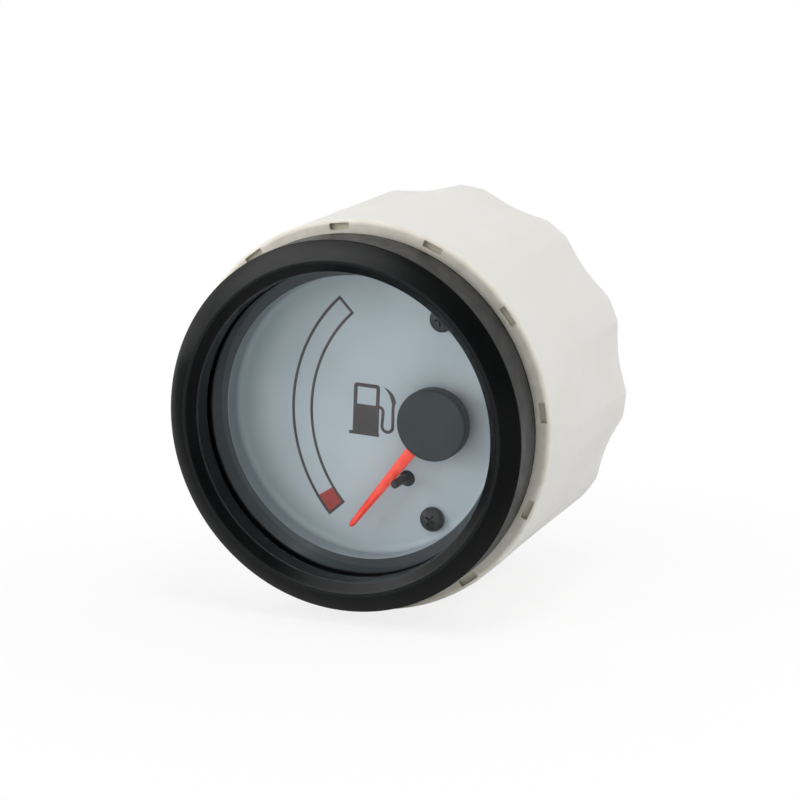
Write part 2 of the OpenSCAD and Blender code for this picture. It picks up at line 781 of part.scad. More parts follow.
// Bulb holder: a twist-lock plug with two lugs inside the floor and a finger bar outside.
module bulb_holder() {
    flange_top = -case_depth - slide_gap * 2;
    flange_t = 1.3;
    grip_r = 4.2;
    grip_h = 6;
    bar_t = 2.6;
    bar_h = 5.4;
    slot_t = 2.4;
    color("#3a3b3e") face() translate([-bulb_x, -bulb_y, 0]) difference() {
        union() {
            disc(holder_r, flange_top - cut / 2, socket_top);
            disc(holder_flange_d / 2, flange_top - flange_t, flange_top);
            for (side = [0, 180]) {
                rotate(side - lug_span / 2) translate([0, 0, floor_z + slide_gap * 3])
                    rotate_extrude(angle = lug_span) translate([holder_r - cut, 0])
                        square([lug_r - holder_r + cut, lug_t]);
            }
            disc(grip_r, flange_top - grip_h, flange_top - cut);
            block(bar_t, holder_flange_d - 2 * cut, flange_top - bar_h, flange_top - cut);
        }
        block(bulb_d - guide_gap, slot_t, socket_top - slot_depth, socket_top + cut);
    }
}

// Bulb: a glass wedge bulb pushed into the holder's slot.
module bulb() {
    bulb_r = bulb_d / 2;
    glass_h = 7;
    wedge_t = 2;
    neck_r = bulb_r - thread_gap;
    neck_z = socket_top + 2 * slide_gap;
    color([1, 0.95, 0.8, 0.6]) face() translate([-bulb_x, -bulb_y, 0]) {
        rotate_extrude()
            polygon(concat([[0, neck_z], [neck_r, neck_z]],
                           arc_points(0, socket_top + glass_h, bulb_r, bulb_r, 0, 90, 8)));
        block(2 * neck_r, wedge_t, socket_top - slot_depth + guide_gap, socket_top + cut / 2);
    }
}

// Slip washer: rides on the barrel ahead of the nut, kept from turning by its tab.
module slip_washer() {
    tab_w = key_w - 2 * guide_gap;
    tab_r = barrel_r - key_depth + guide_gap;
    tab_root = thread_gap;
    color("#141415") face() union() {
        tube(washer_outer_r, washer_inner_r, washer_back, washer_front);
        intersection() {
            tube(washer_inner_r + tab_root, tab_r, washer_back, washer_front);
            translate([-tab_w / 2, -washer_outer_r, washer_back])
                cube([tab_w, washer_outer_r, washer_t]);
        }
    }
}

// Rings of the nut's outside from front to rear: height, radius and share of the flute depth.
nut_rings = concat(
    [for (i = [0:round_steps]) let (t = 90 - i * 90 / round_steps)
        [nut_front - rim_round * (1 - sin(t)), nut_rim_r - rim_round * (1 - cos(t)), 0]],
    [[nut_front - flute_start, nut_radius(flute_start), 0]],
    [[nut_back + rear_round, nut_radius(nut_len - rear_round), 1]],
    [for (i = [1:round_steps]) let (t = i * 90 / round_steps)
        [nut_back + rear_round * (1 - sin(t)), nut_tail_r - rear_round * (1 - cos(t)), 1]]);

// Radius of the nut's plain crest at a distance from its front
function nut_radius(d) = nut_rim_r - nut_taper * d / nut_len;

// Angles of the outline's points on each flute and then on the crest after it
nut_angles = [for (k = [0:flutes - 1])
    let (start = flute_angle + k * flute_pitch, half = flute_share / 2 * flute_pitch)
    for (i = [0:flute_steps + crest_steps - 1])
        i < flute_steps ? start - half + 2 * half * i / flute_steps
                        : start + half + (flute_pitch - 2 * half) * (i - flute_steps) / crest_steps];

// The fluted outside of the nut as one closed loft
module nut_blank() {
    n = len(nut_angles);
    rings = len(nut_rings);
    points = [for (ring = nut_rings) for (a = nut_angles)
        let (r = ring[1] - ring[2] * flute_depth * flute_form(a)) [r * cos(a), r * sin(a), ring[0]]];
    front = [[for (i = [0:n - 1]) i]];
    back = [[for (i = [0:n - 1]) (rings - 1) * n + n - 1 - i]];
    sides = [for (j = [0:rings - 2], i = [0:n - 1])
        let (i2 = (i + 1) % n) [j * n + i2, j * n + i, (j + 1) * n + i, (j + 1) * n + i2]];
    polyhedron(points = points, faces = concat(front, back, sides), convexity = 6);
}

// Clamp nut: fluted outside, with a recess for the washer and pockets in its front rim.
module clamp_nut() {
    pocket_out = nut_rim_r - pocket_wall;
    color("#e6e4de") face() difference() {
        nut_blank();
        disc(nut_bore_r, nut_back - cut, nut_front + cut);
        disc(recess_r, recess_floor, nut_front + cut);
        for (k = [0:flutes - 1]) {
            rotate(flute_angle + pocket_turn + k * flute_pitch)
                translate([pocket_out - pocket_h, -pocket_w / 2, nut_front - pocket_depth])
                    cube([pocket_h, pocket_w, pocket_depth + cut]);
        }
    }
}

bezel();
lens();
lens_gasket();
shroud();
dial();
dial_screws();
stop_pin();
light_guide();
movement_frame();
front_bearing();
rear_bearing();
bobbin_front();
bobbin_rear();
coil_inner();
coil_outer();
shield_can();
circuit_board();
ballast_resistor();
case();
case_screws();
panel_seal();
supply_blade();
sender_blade();
earth_blade();
pointer();
pointer_cap();
spindle();
rotor_magnet();
bulb_holder();
bulb();
slip_washer();
clamp_nut();
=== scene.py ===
# %% [markdown]
# # A dashboard fuel gauge, dressed from its solids
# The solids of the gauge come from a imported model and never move. This notebook gives them the looks of
# the real thing: a gloss black bezel, a printed dial behind a clear lens, a bright pointer, and the white
# moulded nut that clamps the gauge into a dashboard. Every length below is in millimetres and becomes
# metres only where a mesh is made, because a gauge is measured in millimetres.

# %% Load the solids
import math

import bmesh
import bpy
from mathutils import Matrix, Vector


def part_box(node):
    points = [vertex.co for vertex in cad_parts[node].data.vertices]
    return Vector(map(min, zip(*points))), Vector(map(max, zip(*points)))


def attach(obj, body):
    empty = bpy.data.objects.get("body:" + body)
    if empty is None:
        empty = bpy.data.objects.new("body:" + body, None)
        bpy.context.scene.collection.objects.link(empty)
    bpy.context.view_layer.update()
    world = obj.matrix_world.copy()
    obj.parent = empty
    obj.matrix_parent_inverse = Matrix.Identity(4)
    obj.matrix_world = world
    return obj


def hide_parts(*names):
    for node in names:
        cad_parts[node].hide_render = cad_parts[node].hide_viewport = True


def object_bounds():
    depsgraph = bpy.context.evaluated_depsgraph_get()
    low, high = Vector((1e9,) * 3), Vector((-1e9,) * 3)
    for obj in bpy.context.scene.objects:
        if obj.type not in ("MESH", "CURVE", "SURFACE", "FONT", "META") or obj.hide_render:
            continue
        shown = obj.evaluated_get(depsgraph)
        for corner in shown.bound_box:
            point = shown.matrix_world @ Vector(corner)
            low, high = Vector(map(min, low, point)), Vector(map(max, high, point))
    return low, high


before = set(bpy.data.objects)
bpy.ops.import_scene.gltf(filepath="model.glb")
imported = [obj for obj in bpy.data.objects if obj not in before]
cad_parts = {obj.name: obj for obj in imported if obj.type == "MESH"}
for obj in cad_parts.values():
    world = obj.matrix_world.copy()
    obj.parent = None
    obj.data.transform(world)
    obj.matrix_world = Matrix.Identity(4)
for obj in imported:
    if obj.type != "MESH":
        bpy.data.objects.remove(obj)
cad_low, cad_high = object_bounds()
MM = 0.001
print("solids:", len(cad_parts), "size in mm:", [round(s / MM, 1) for s in cad_high - cad_low])


def box_mm(node):
    """The lowest and highest corner of a solid, in millimetres."""
    low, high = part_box(node)
    return low / MM, high / MM


# %% [markdown]
# ## Sizes taken from the solids
# The gauge's axis lies along Y and the dial looks towards -Y. Most sizes are read off the solids' boxes, so
# that a piece made here lands exactly where the solid was. The few that no box shows, such as the radius
# of the bezel's crown, are written out.

# %% Sizes
bezel_low, bezel_high = box_mm("bezel")
lens_low, lens_high = box_mm("lens")
shroud_low, shroud_high = box_mm("shroud")
dial_low, dial_high = box_mm("dial")
cap_low, cap_high = box_mm("pointer_cap")
pointer_low, pointer_high = box_mm("pointer")
nut_low, nut_high = box_mm("clamp_nut")

DIAL_T = 0.8
bezel_r = bezel_high.x
bezel_front = bezel_low.y
lens_r = lens_high.x
dial_y = dial_high.y - DIAL_T
pivot_x = (cap_low.x + cap_high.x) / 2
cap_r = (cap_high.x - cap_low.x) / 2
nut_r = nut_high.x
print("bezel", round(2 * bezel_r, 2), "nut", round(2 * nut_r, 2), "dial face at y", round(dial_y, 2))

# %% [markdown]
# ## The camera
# The photograph was taken with a long lens from the right and a little above. The angles and the distance
# were fitted to the circles of the bezel and the nut, so the same camera is set up here by its azimuth,
# elevation and roll, aimed at a point close to the centre of the bezel.

# %% Camera
VIEW_AZIMUTH = 22.31
VIEW_ELEVATION = 13.66
VIEW_ROLL = 0.14
AIM = Vector((5.70, 3.08, 2.83))
VIEW_DISTANCE = 480.1
FOCAL_LENGTH = 135.83


def look_from(azimuth, elevation):
    """Unit vector from the object to a camera or a lamp at these angles in degrees."""
    a = math.radians(azimuth)
    e = math.radians(elevation)
    return Vector((math.sin(a) * math.cos(e), -math.cos(a) * math.cos(e), math.sin(e)))


camera = bpy.data.objects.new("photo_camera", bpy.data.cameras.new("photo_camera"))
bpy.context.scene.collection.objects.link(camera)
bpy.context.scene.camera = camera
back = look_from(VIEW_AZIMUTH, VIEW_ELEVATION)
camera.rotation_mode = "QUATERNION"
aim_turn = (-back).to_track_quat("-Z", "Y").to_matrix()
camera.rotation_quaternion = (aim_turn @ Matrix.Rotation(math.radians(VIEW_ROLL), 3, "Z")).to_quaternion()
camera.location = (AIM + back * VIEW_DISTANCE) * MM
camera.data.lens = FOCAL_LENGTH
camera.data.sensor_width = 36
camera.data.clip_start = 0.02
camera.data.clip_end = 20
print("camera at", [round(c, 4) for c in camera.location])

# %% [markdown]
# ## Helpers for nodes
# Materials, the sky and Geometry Nodes are all trees of nodes. The first class below lets the output of a node
# stand in a formula, such as `a * b + c`, and the second adds a node to a tree in one short call.

# %% Node helpers
class Value:
    """An output of a node that can stand in a formula."""

    def __init__(self, nodes, socket):
        self.nodes = nodes
        self.socket = socket

    def __add__(self, other):
        return self.nodes.maths("ADD", self, other)

    def __sub__(self, other):
        return self.nodes.maths("SUBTRACT", self, other)

    def __rsub__(self, other):
        return self.nodes.maths("SUBTRACT", other, self)

    def __mul__(self, other):
        return self.nodes.maths("MULTIPLY", self, other)

    def __truediv__(self, other):
        return self.nodes.maths("DIVIDE", self, other)


class Nodes:
    """A tree of nodes, with short ways to add to it."""

    def __init__(self, group):
        self.group = group

    def put(self, socket, value):
        """Links a value to an input, or sets the input to a plain one."""
        if isinstance(value, Value):
            self.group.links.new(value.socket, socket)
        elif value is not None:
            socket.default_value = value

    def node(self, kind, *values, out=0, **settings):
        """One output of a new node with these inputs, in their order, and these properties."""
        made = self.group.nodes.new(kind)
        for key, setting in settings.items():
            setattr(made, key, setting)
        for socket, value in zip([s for s in made.inputs if s.enabled], values):
            self.put(socket, value)
        return Value(self, made.outputs[out])

    def maths(self, operation, *values):
        return self.node("ShaderNodeMath", *values, operation=operation)

    def vector(self, x=0.0, y=0.0, z=0.0):
        return self.node("ShaderNodeCombineXYZ", x, y, z)

    def parts(self, vector):
        """The x, y and z of a vector."""
        split = self.group.nodes.new("ShaderNodeSeparateXYZ")
        self.put(split.inputs[0], vector)
        return [Value(self, output) for output in split.outputs]

    def ramp(self, value, low, high, to_low=0.0, to_high=1.0):
        """The value stretched smoothly from one range to another, and held at the ends."""
        return self.node("ShaderNodeMapRange", value, low, high, to_low, to_high, interpolation_type="SMOOTHSTEP")

    def ray(self, kind):
        """One for a ray of this kind, and zero for any other."""
        return self.node("ShaderNodeLightPath", out=f"Is {kind} Ray")

    def seen(self):
        """One for a ray that shows in the picture, straight or through the lens."""
        return self.maths("MAXIMUM", self.ray("Camera"), self.ray("Transmission"))


# %% [markdown]
# ## Helpers for materials
# A moulded plastic is never one flat colour: it has faint cloudy patches, a fine grain from the mould and
# a roughness that changes a little where hands have rubbed it. The helpers below build that from noise in
# Object coordinates, which stay fixed to the piece from every side.


# %% Material helpers
def srgb(code):
    """A hex colour as the linear values that a shader takes."""
    parts = [int(code[i : i + 2], 16) / 255 for i in (1, 3, 5)]
    linear = [c / 12.92 if c <= 0.04045 else ((c + 0.055) / 1.055) ** 2.4 for c in parts]
    return (*linear, 1.0)


class Finish(Nodes):
    """One material with a Principled shader."""

    def __init__(self, name, colour, roughness, metallic=0.0, specular=0.5):
        self.material = bpy.data.materials.new(name)
        self.material.use_nodes = True
        super().__init__(self.material.node_tree)
        self.shader = self.group.nodes["Principled BSDF"]
        self.set(Base_Color=srgb(colour), Roughness=roughness, Metallic=metallic, Specular_IOR_Level=specular)
        self.place = self.node("ShaderNodeTexCoord", out="Object")

    def set(self, **inputs):
        """Sets inputs of the shader, each by its name with _ for a space."""
        for key, value in inputs.items():
            self.put(self.shader.inputs[key.replace("_", " ")], value)

    def swap(self, share, other):
        """Puts another shader in the Principled one's place, for this share."""
        mixed = self.node("ShaderNodeMixShader", share, Value(self, self.shader.outputs["BSDF"]), other)
        self.put(self.group.nodes["Material Output"].inputs["Surface"], mixed)

    def noise(self, size, detail=3.0, stretch=(1, 1, 1)):
        """Cloudy noise whose patches are about this many millimetres across."""
        place = self.node("ShaderNodeMapping", self.place, None, None, stretch)
        return self.node("ShaderNodeTexNoise", place, 1 / (size * MM), detail)

    def cloud(self, size, low=0.3, high=0.7, to_low=0.0, to_high=1.0, detail=3.0):
        """Noise stretched to run from one value to another."""
        return self.ramp(self.noise(size, detail), low, high, to_low, to_high)

    def band(self, value, start, full, fading, end):
        """One between two places along a value, with soft ends, and zero outside."""
        return self.ramp(value, start, full) * self.ramp(value, fading, end, 1.0, 0.0)

    def blend(self, share, first, second):
        """A colour between two others."""
        pair = [srgb(colour) if isinstance(colour, str) else colour for colour in (first, second)]
        return self.node("ShaderNodeMix", share, *pair, data_type="RGBA", out=2)

    def round_place(self, centre_x=0.0):
        """How far a point lies from an axis along Y, and how far along it, in millimetres."""
        x, y, z = self.parts(self.place)
        flat = self.vector(x - centre_x * MM, 0.0, z)
        return self.node("ShaderNodeVectorMath", flat, operation="LENGTH", out="Value") / MM, y / MM

    def relief(self, height, depth):
        """Bumps of about this many millimetres."""
        bump = self.group.nodes.new("ShaderNodeBump")
        self.put(bump.inputs["Height"], height)
        self.put(bump.inputs["Distance"], depth * MM)
        self.set(Normal=Value(self, bump.outputs["Normal"]))


def moulded(name, dark, light, roughness, grain=0.35, grain_depth=0.006, specular=0.5, patch=9.0):
    """Injection-moulded plastic: two near shades in patches, with a fine grain."""
    finish = Finish(name, light, roughness, specular=specular)
    finish.set(Base_Color=finish.blend(finish.cloud(patch), dark, light),
               Roughness=finish.cloud(patch / 3, 0.25, 0.75, roughness - 0.06, roughness + 0.08))
    finish.relief(finish.noise(grain, 2.0), grain_depth)
    return finish


def metal(name, dark, light, roughness, streak, patch):
    """Sheet metal with streaks along one direction and duller patches."""
    finish = Finish(name, light, roughness, metallic=1.0)
    streaks = finish.noise(patch, 4.0, streak)
    finish.set(Base_Color=finish.blend(finish.ramp(streaks, 0.3, 0.7), dark, light),
               Roughness=finish.cloud(patch * 2, 0.3, 0.7, roughness - 0.06, roughness + 0.12))
    finish.relief(streaks, 0.004)
    return finish


# %% [markdown]
# ## Helpers for turned pieces
# Nearly everything on a round gauge is a body of revolution: the bezel, the lens, the shroud, the cap. A
# lathe would cut it from an outline, so the helper here spins an outline of radius and depth about an axis
# along Y. Corners on real mouldings are never razor sharp, so each corner of the outline gets a small
# rounding first, and that rounding is what catches the light.

# %% Turning helpers
TURN_STEPS = 180
EASE_STEPS = 5
EASE_SHARE = 0.49
SUPPORT = 1.5


def eased(corners):
    """The outline with each corner (x, y, rounding) turned into a small arc between two supporting points."""
    points = []
    for i, (x, y, rounding) in enumerate(corners):
        here = Vector((x, y))
        if rounding <= 0:
            points.append(here)
            continue
        before = Vector(corners[i - 1][:2]) - here
        after = Vector(corners[(i + 1) % len(corners)][:2]) - here
        half = before.angle(after) / 2
        reach = min(rounding / math.tan(half), EASE_SHARE * before.length, EASE_SHARE * after.length)
        radius = reach * math.tan(half)
        middle = here + (before.normalized() + after.normalized()).normalized() * radius / math.sin(half)
        start = here + before.normalized() * reach - middle
        end = here + after.normalized() * reach - middle
        points.append(here + before.normalized() * min(reach * SUPPORT, 0.5 * before.length))
        for k in range(EASE_STEPS + 1):
            points.append(middle + start.lerp(end, k / EASE_STEPS).normalized() * radius)
        points.append(here + after.normalized() * min(reach * SUPPORT, 0.5 * after.length))
    return points


def ellipse(x, y, width, height, start, end, steps):
    """Points along part of an ellipse, between two angles in degrees."""
    angles = [math.radians(start + (end - start) * i / steps) for i in range(steps + 1)]
    return [(x + width * math.cos(a), y + height * math.sin(a), 0) for a in angles]


def link(name, data):
    """A new object that holds this mesh or curve, in the scene."""
    made = bpy.data.objects.new(name, data)
    bpy.context.scene.collection.objects.link(made)
    return made


def shade(mesh, sharp=40):
    """Smooth shading, with the edges above this angle kept sharp."""
    mesh.polygons.foreach_set("use_smooth", [True] * len(mesh.polygons))
    mesh.set_sharp_from_angle(angle=math.radians(sharp))


def as_object(bm, name):
    """Turns the working mesh into an object with outward faces."""
    bmesh.ops.recalc_face_normals(bm, faces=bm.faces)
    mesh = bpy.data.meshes.new(name)
    bm.to_mesh(mesh)
    bm.free()
    return link(name, mesh)


def as_smooth_object(bm, name, sharp=40):
    """The same, with double corners merged and smooth shading."""
    bmesh.ops.remove_doubles(bm, verts=bm.verts, dist=1e-7)
    made = as_object(bm, name)
    shade(made.data, sharp)
    return made


def skin(bm, ring, other):
    """Faces between two rings of corners. A ring may also be one point on the axis."""
    for k in range(max(len(ring), len(other))):
        corners = [ring[k % len(ring)], ring[(k + 1) % len(ring)]]
        corners += [other[(k + 1) % len(other)], other[k % len(other)]]
        unique = list(dict.fromkeys(corners))
        if len(unique) > 2:
            bm.faces.new(unique)


def turned(name, outline, centre=(0.0, 0.0), steps=TURN_STEPS, sharp=40):
    """A closed body spun from an outline of (radius, y) in millimetres about an axis along Y."""
    bm = bmesh.new()
    rings = []
    for radius, y in outline:
        angles = [2 * math.pi * k / steps for k in range(1 if radius < 1e-6 else steps)]
        rings.append([
            bm.verts.new([v * MM for v in (centre[0] + radius * math.cos(a), y, centre[1] + radius * math.sin(a))])
            for a in angles
        ])
    for i, ring in enumerate(rings):
        skin(bm, ring, rings[(i + 1) % len(rings)])
    return as_smooth_object(bm, name, sharp)


def lofted(name, sections, sharp):
    """A closed body through a row of cross-sections, each a ring of corners in millimetres."""
    bm = bmesh.new()
    rings = [[bm.verts.new(corner * MM) for corner in section] for section in sections]
    for ring, other in zip(rings, rings[1:]):
        skin(bm, ring, other)
    bm.faces.new(rings[0][::-1])
    bm.faces.new(rings[-1])
    return as_smooth_object(bm, name, sharp)


def add_block(bm, rule):
    """Adds a block: the rule takes each corner of a unit cube to its place in millimetres."""
    for vert in bmesh.ops.create_cube(bm, size=1.0)["verts"]:
        vert.co = rule(*vert.co) * MM


def evaluated(piece, name):
    """What the modifiers or the fill of a piece make of it, as a new mesh."""
    bpy.context.view_layer.update()
    mesh = bpy.data.meshes.new_from_object(piece.evaluated_get(bpy.context.evaluated_depsgraph_get()))
    mesh.name = name
    return mesh


def combine(piece, other, operation):
    """Cuts the other closed body out of the piece (DIFFERENCE) or fuses it on (UNION)."""
    modifier = piece.modifiers.new("combine", "BOOLEAN")
    modifier.operation = operation
    modifier.solver = "EXACT"
    modifier.use_self = True
    modifier.object = other
    mesh = evaluated(piece, piece.name)
    piece.modifiers.clear()
    piece.data = mesh
    bpy.data.objects.remove(other)


def cover(piece, finish):
    """Puts a material on a piece, or on a solid that is shown as it is."""
    piece.data.materials.clear()
    piece.data.materials.append(finish.material)


def dress(piece, finish, body, replaces=()):
    """Gives a piece its material, its body and the solids that it stands for."""
    cover(piece, finish)
    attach(piece, body)
    for node in replaces:
        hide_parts(node)
    print(piece.name, "faces:", len(piece.data.polygons))


# %% [markdown]
# ## The bezel
# The bezel is one black moulding. Its side rises straight to a crisp corner. From there a slightly bowed slope
# leads up to a narrow crown, a second slope drops to a crease, and a steep wall goes down to the lip that holds
# the lens. At the back a small rebate makes room for the edge of the seal. A lathe outline gives all of that.

# %% Bezel outline
CROWN_W = 3.0
SHOULDER_H = 1.7
SHOULDER_BOW = 0.15
LAND_W = 0.5
CREASE_W = 1.5
CREASE_RISE = 2.65
WINDOW_R = 24.85
LIP_T = 0.3
SKIRT_WALL = 1.25
BEAD_W = 0.45
BEAD_LOW = 0.3
BEAD_HIGH = 0.85
SEAT_GAP = 0.15
SEAT_RISE = 0.05
SEAL_SEAT_R = 29.2
SEAL_T = 0.9

lip_y = lens_low.y - LIP_T
land_outer_r = bezel_r - CROWN_W
land_inner_r = land_outer_r - LAND_W
skirt_r = bezel_r - SKIRT_WALL
seat_r = lens_r + SEAT_GAP
seat_y = lens_high.y + SEAT_RISE
corner_y = bezel_front + SHOULDER_H
crease_r = land_inner_r - CREASE_W
crease_y = lip_y - CREASE_RISE


def bowed(x, y, to_x, to_y, bow, steps):
    """Points strictly between two others, on a line that bows outwards."""
    along = Vector((to_x - x, to_y - y))
    side = Vector((-along.y, along.x)).normalized() * bow
    parts = [i / steps for i in range(1, steps)]
    return [(*(Vector((x, y)) + along * t + side * 4 * t * (1 - t)), 0) for t in parts]


bezel_outline = eased([
    (SEAL_SEAT_R, 0, 0),
    (SEAL_SEAT_R, -SEAL_T, 0),
    (bezel_r, -SEAL_T, 0.15),
    (bezel_r, corner_y, 0.3),
    *bowed(bezel_r, corner_y, land_outer_r, bezel_front, SHOULDER_BOW, 10),
    (land_outer_r, bezel_front, 0.9),
    (land_inner_r, bezel_front, 0.6),
    (crease_r, crease_y, 0.3),
    (WINDOW_R, lip_y, 0.1),
    (WINDOW_R, lens_low.y, 0),
    (seat_r, lens_low.y, 0),
    (seat_r, seat_y, 0),
    (skirt_r, seat_y, 0),
    (skirt_r, -BEAD_HIGH, 0),
    (skirt_r - BEAD_W, -(BEAD_LOW + BEAD_HIGH) / 2, 0.1),
    (skirt_r, -BEAD_LOW, 0),
    (skirt_r, 0, 0.1),
])

# %% [markdown]
# The front of the bezel is polished, and faint polishing lines run round it. The side is satin and the steep
# inner wall is dull, so the shine follows the radius and the depth. Thin lighter lines at the crown and along
# the crease are painted highlights, where those edges catch the light.

# %% Bezel finish
SIDE_R = (28.0, 29.0)
SIDE_FADE = (-0.15, 0.1)
WALL_R = (25.2, 25.0)
WALL_FADE = 0.4
WALL_SHINE = 0.12
LINE_SIZE = 0.22
CREASE_HIGHLIGHT = (0.06, 0.2)
CROWN_HIGHLIGHT = (0.01, 0.08)


def polished_black():
    """Black ABS: a polished front, a satin side, polishing lines that run round the ring, and painted highlight lines.
    """
    finish = Finish("gloss_black_abs", "#18191b", 0.2)
    away, along = finish.round_place()
    side = finish.ramp(along, corner_y + SIDE_FADE[0], corner_y + SIDE_FADE[1]) * finish.ramp(away, *SIDE_R)
    wall = finish.ramp(along, crease_y, crease_y + WALL_FADE) * finish.ramp(away, *WALL_R)
    lines = finish.node("ShaderNodeTexNoise", finish.vector(away, along), 1 / LINE_SIZE, 2.0)
    lines = lines * finish.cloud(6, 0.3, 0.7, 0.3, 1.0) * (1.0 - wall)
    front = lines * 0.12 + 0.17
    satin = finish.cloud(2.5, 0.3, 0.7, 0.36, 0.46)
    # Painted highlights: thin lighter lines of colour along the crease and at the crown.
    off_crease = [finish.maths("ABSOLUTE", gap) for gap in (away - crease_r, along - crease_y)]
    crease_highlight = finish.ramp(finish.maths("MAXIMUM", *off_crease), *CREASE_HIGHLIGHT, 0.9, 0.0)
    crown_highlight = finish.ramp(along, bezel_front + CROWN_HIGHLIGHT[0], bezel_front + CROWN_HIGHLIGHT[1], 0.45, 0.0)
    black = finish.blend(crease_highlight, finish.blend(finish.cloud(9), "#0c0d0e", "#121314"), "#34373a")
    black = finish.blend(crown_highlight, black, "#2c2e30")
    finish.set(Base_Color=finish.blend(side, black, "#191a1b"), Roughness=front + side * (satin - front),
               Specular_IOR_Level=finish.ramp(wall, 0, 1, 0.5, WALL_SHINE))
    finish.relief(lines + side * finish.noise(0.5), 0.0015)
    return finish


dress(turned("bezel_ring", bezel_outline, steps=240, sharp=70), polished_black(), "gauge", ["bezel"])

# %% [markdown]
# ## The lens
# A clear window is mostly what it lets through. It is spun like the rest, with a small chamfer at its edge.
# The camera was fitted as if rays ran straight through the pane, so the pane doesn't bend them: its index is
# close to 1, and a coat with the index of acrylic brings back the reflection. The coat's roughness has a faint
# cloudiness from handling. Light from the lamps has to reach the dial, so for shadow rays a Light Path node
# swaps the pane for a Transparent shader.

# %% Lens
lens_outline = eased([
    (0, lens_low.y, 0),
    (lens_r, lens_low.y, 0.15),
    (lens_r, lens_high.y, 0.15),
    (0, lens_high.y, 0),
])
clear = Finish("clear_window", "#f7fafb", 0.0)
clear.set(Transmission_Weight=1.0, IOR=1.001, Coat_Weight=0.5, Coat_IOR=1.49,
          Coat_Roughness=clear.cloud(14, 0.35, 0.75, 0.01, 0.06))
clear.swap(clear.ray("Shadow"), clear.node("ShaderNodeBsdfTransparent"))
dress(turned("lens_pane", lens_outline), clear, "gauge", ["lens"])

# %% [markdown]
# ## The shroud
# Between the window and the dial a dark satin cone hides the edge of the dial and keeps stray light off it.
# Its slope is what shows as a grey crescent on the left, so the outline follows the solid's own cone.

# %% Shroud
VIEW_R = 23.06
SHROUD_WALL = 0.7
SHROUD_RIM_T = 0.8
SHROUD_LEDGE = 0.75
shroud_top_r = lens_r - SHROUD_LEDGE
shroud_slope = (shroud_top_r - VIEW_R) / (shroud_high.y - shroud_low.y)
rim_back = shroud_low.y + SHROUD_RIM_T
rim_low_r = VIEW_R + shroud_slope * (shroud_high.y - rim_back) + SHROUD_WALL
shroud_outline = eased([
    (VIEW_R, shroud_high.y, 0.08),
    (shroud_top_r, shroud_low.y, 0.25),
    (lens_r, shroud_low.y, 0.05),
    (lens_r, rim_back, 0.05),
    (rim_low_r, rim_back, 0),
    (VIEW_R + SHROUD_WALL, shroud_high.y, 0),
])
shroud_satin = moulded("shroud_satin", "#282e32", "#31383c", 0.36, grain=0.3, grain_depth=0.003)
dress(turned("shroud_cone", shroud_outline, steps=240), shroud_satin, "gauge", ["shroud"])

# %% [markdown]
# ## The dial
# The dial is a shallow dish: a flat printed face and a turned-up rim that carries the shroud. On the left, where
# the camera looks into the dish, that rim and the shadow of the shroud make the dark band along the edge, and
# painted shade deepens it. The dish is spun, and then the holes for the spindle, the two screws and the stop pin
# are cut through its floor. The ink is a pale blue-grey with very faint mottling. Painted shade darkens it
# towards the edge that lies furthest from the pivot and up the rim, where the bezel and the shroud shade the dish.

# %% Dial
DISH_ROUND = 1.1
SPINDLE_HOLE_R = 1.85
SCREW_HOLE_R = 1.0
PIN_HOLE_R = 1.35
HEAD_R = 2.0
screws_low, screws_high = box_mm("dial_screws")
pin_low, pin_high = box_mm("stop_pin")
screw_places = [(screws_high.x - HEAD_R, screws_high.z - HEAD_R), (screws_low.x + HEAD_R, screws_low.z + HEAD_R)]
collar = ((pin_low.x + pin_high.x) / 2, (pin_low.z + pin_high.z) / 2)

dish_outline = eased([
    (0, dial_high.y, 0),
    (dial_high.x, dial_high.y, 0.3),
    (dial_high.x, dial_low.y, 0.05),
    (VIEW_R, dial_low.y, 0.1),
    (VIEW_R, dial_y, DISH_ROUND),
    (0, dial_y, 0),
])
dish = turned("dial_dish", dish_outline, steps=240)
holes = [(SPINDLE_HOLE_R, (pivot_x, 0)), (PIN_HOLE_R, collar), *((SCREW_HOLE_R, place) for place in screw_places)]
for hole_r, place in holes:
    rod = [(0, dial_y - 1), (hole_r, dial_y - 1), (hole_r, dial_high.y + 1), (0, dial_high.y + 1)]
    combine(dish, turned("hole_tool", rod, place, 48), "DIFFERENCE")
shade(dish.data)

# %% Dial finish
SHADE_SHIFT = 4.0
EDGE_SHADE_R = (20.5, 27.3)
RIM_SHADE_DEPTH = (1.2, 0.15)


def dial_finish():
    """Pale satin ink, with painted shade far from the pivot and up the rim."""
    finish = moulded("dial_ink", "#acb6bc", "#b5bec4", 0.5, grain=0.16, grain_depth=0.0015, patch=16)
    away, along = finish.round_place(SHADE_SHIFT)
    ink = Value(finish, finish.shader.inputs["Base Color"].links[0].from_socket)
    # Painted shade: the ink darkens towards the edge away from the pivot and up the rim wall, where the bezel and the
    # shroud shade the dish.
    edge_shade = finish.ramp(away, *EDGE_SHADE_R, 0.0, 0.62)
    deep = finish.ramp(along, dial_y - RIM_SHADE_DEPTH[0], dial_y - RIM_SHADE_DEPTH[1], 0.3, 0.0)
    finish.set(Base_Color=finish.blend(deep, finish.blend(edge_shade, ink, "#6d7c80"), "#394548"))
    return finish


dress(dish, dial_finish(), "gauge", ["dial"])

# %% [markdown]
# ## The print on the dial
# The level arc, its reserve block and the pump sign are printed. Each is drawn as a flat outline in the
# plane of the dial, filled and given the thickness of a heavy ink film, so that its edge stays crisp at any
# distance. The arc's centre lies by the pointer's pivot, as it has to for the tip to follow it. The pump sign
# is the plain international sign for fuel: a housing with a window, a foot, and a hose with its nozzle. It is
# drawn upright about its own middle and then turned a little, as the photograph shows it.

# %% Print helpers
INK = 0.02


def arc(radius, start, end, steps, centre=(0.0, 0.0)):
    """Points on a circle between two angles in degrees."""
    return [(x, z) for x, z, _ in ellipse(*centre, radius, radius, start, end, steps)]


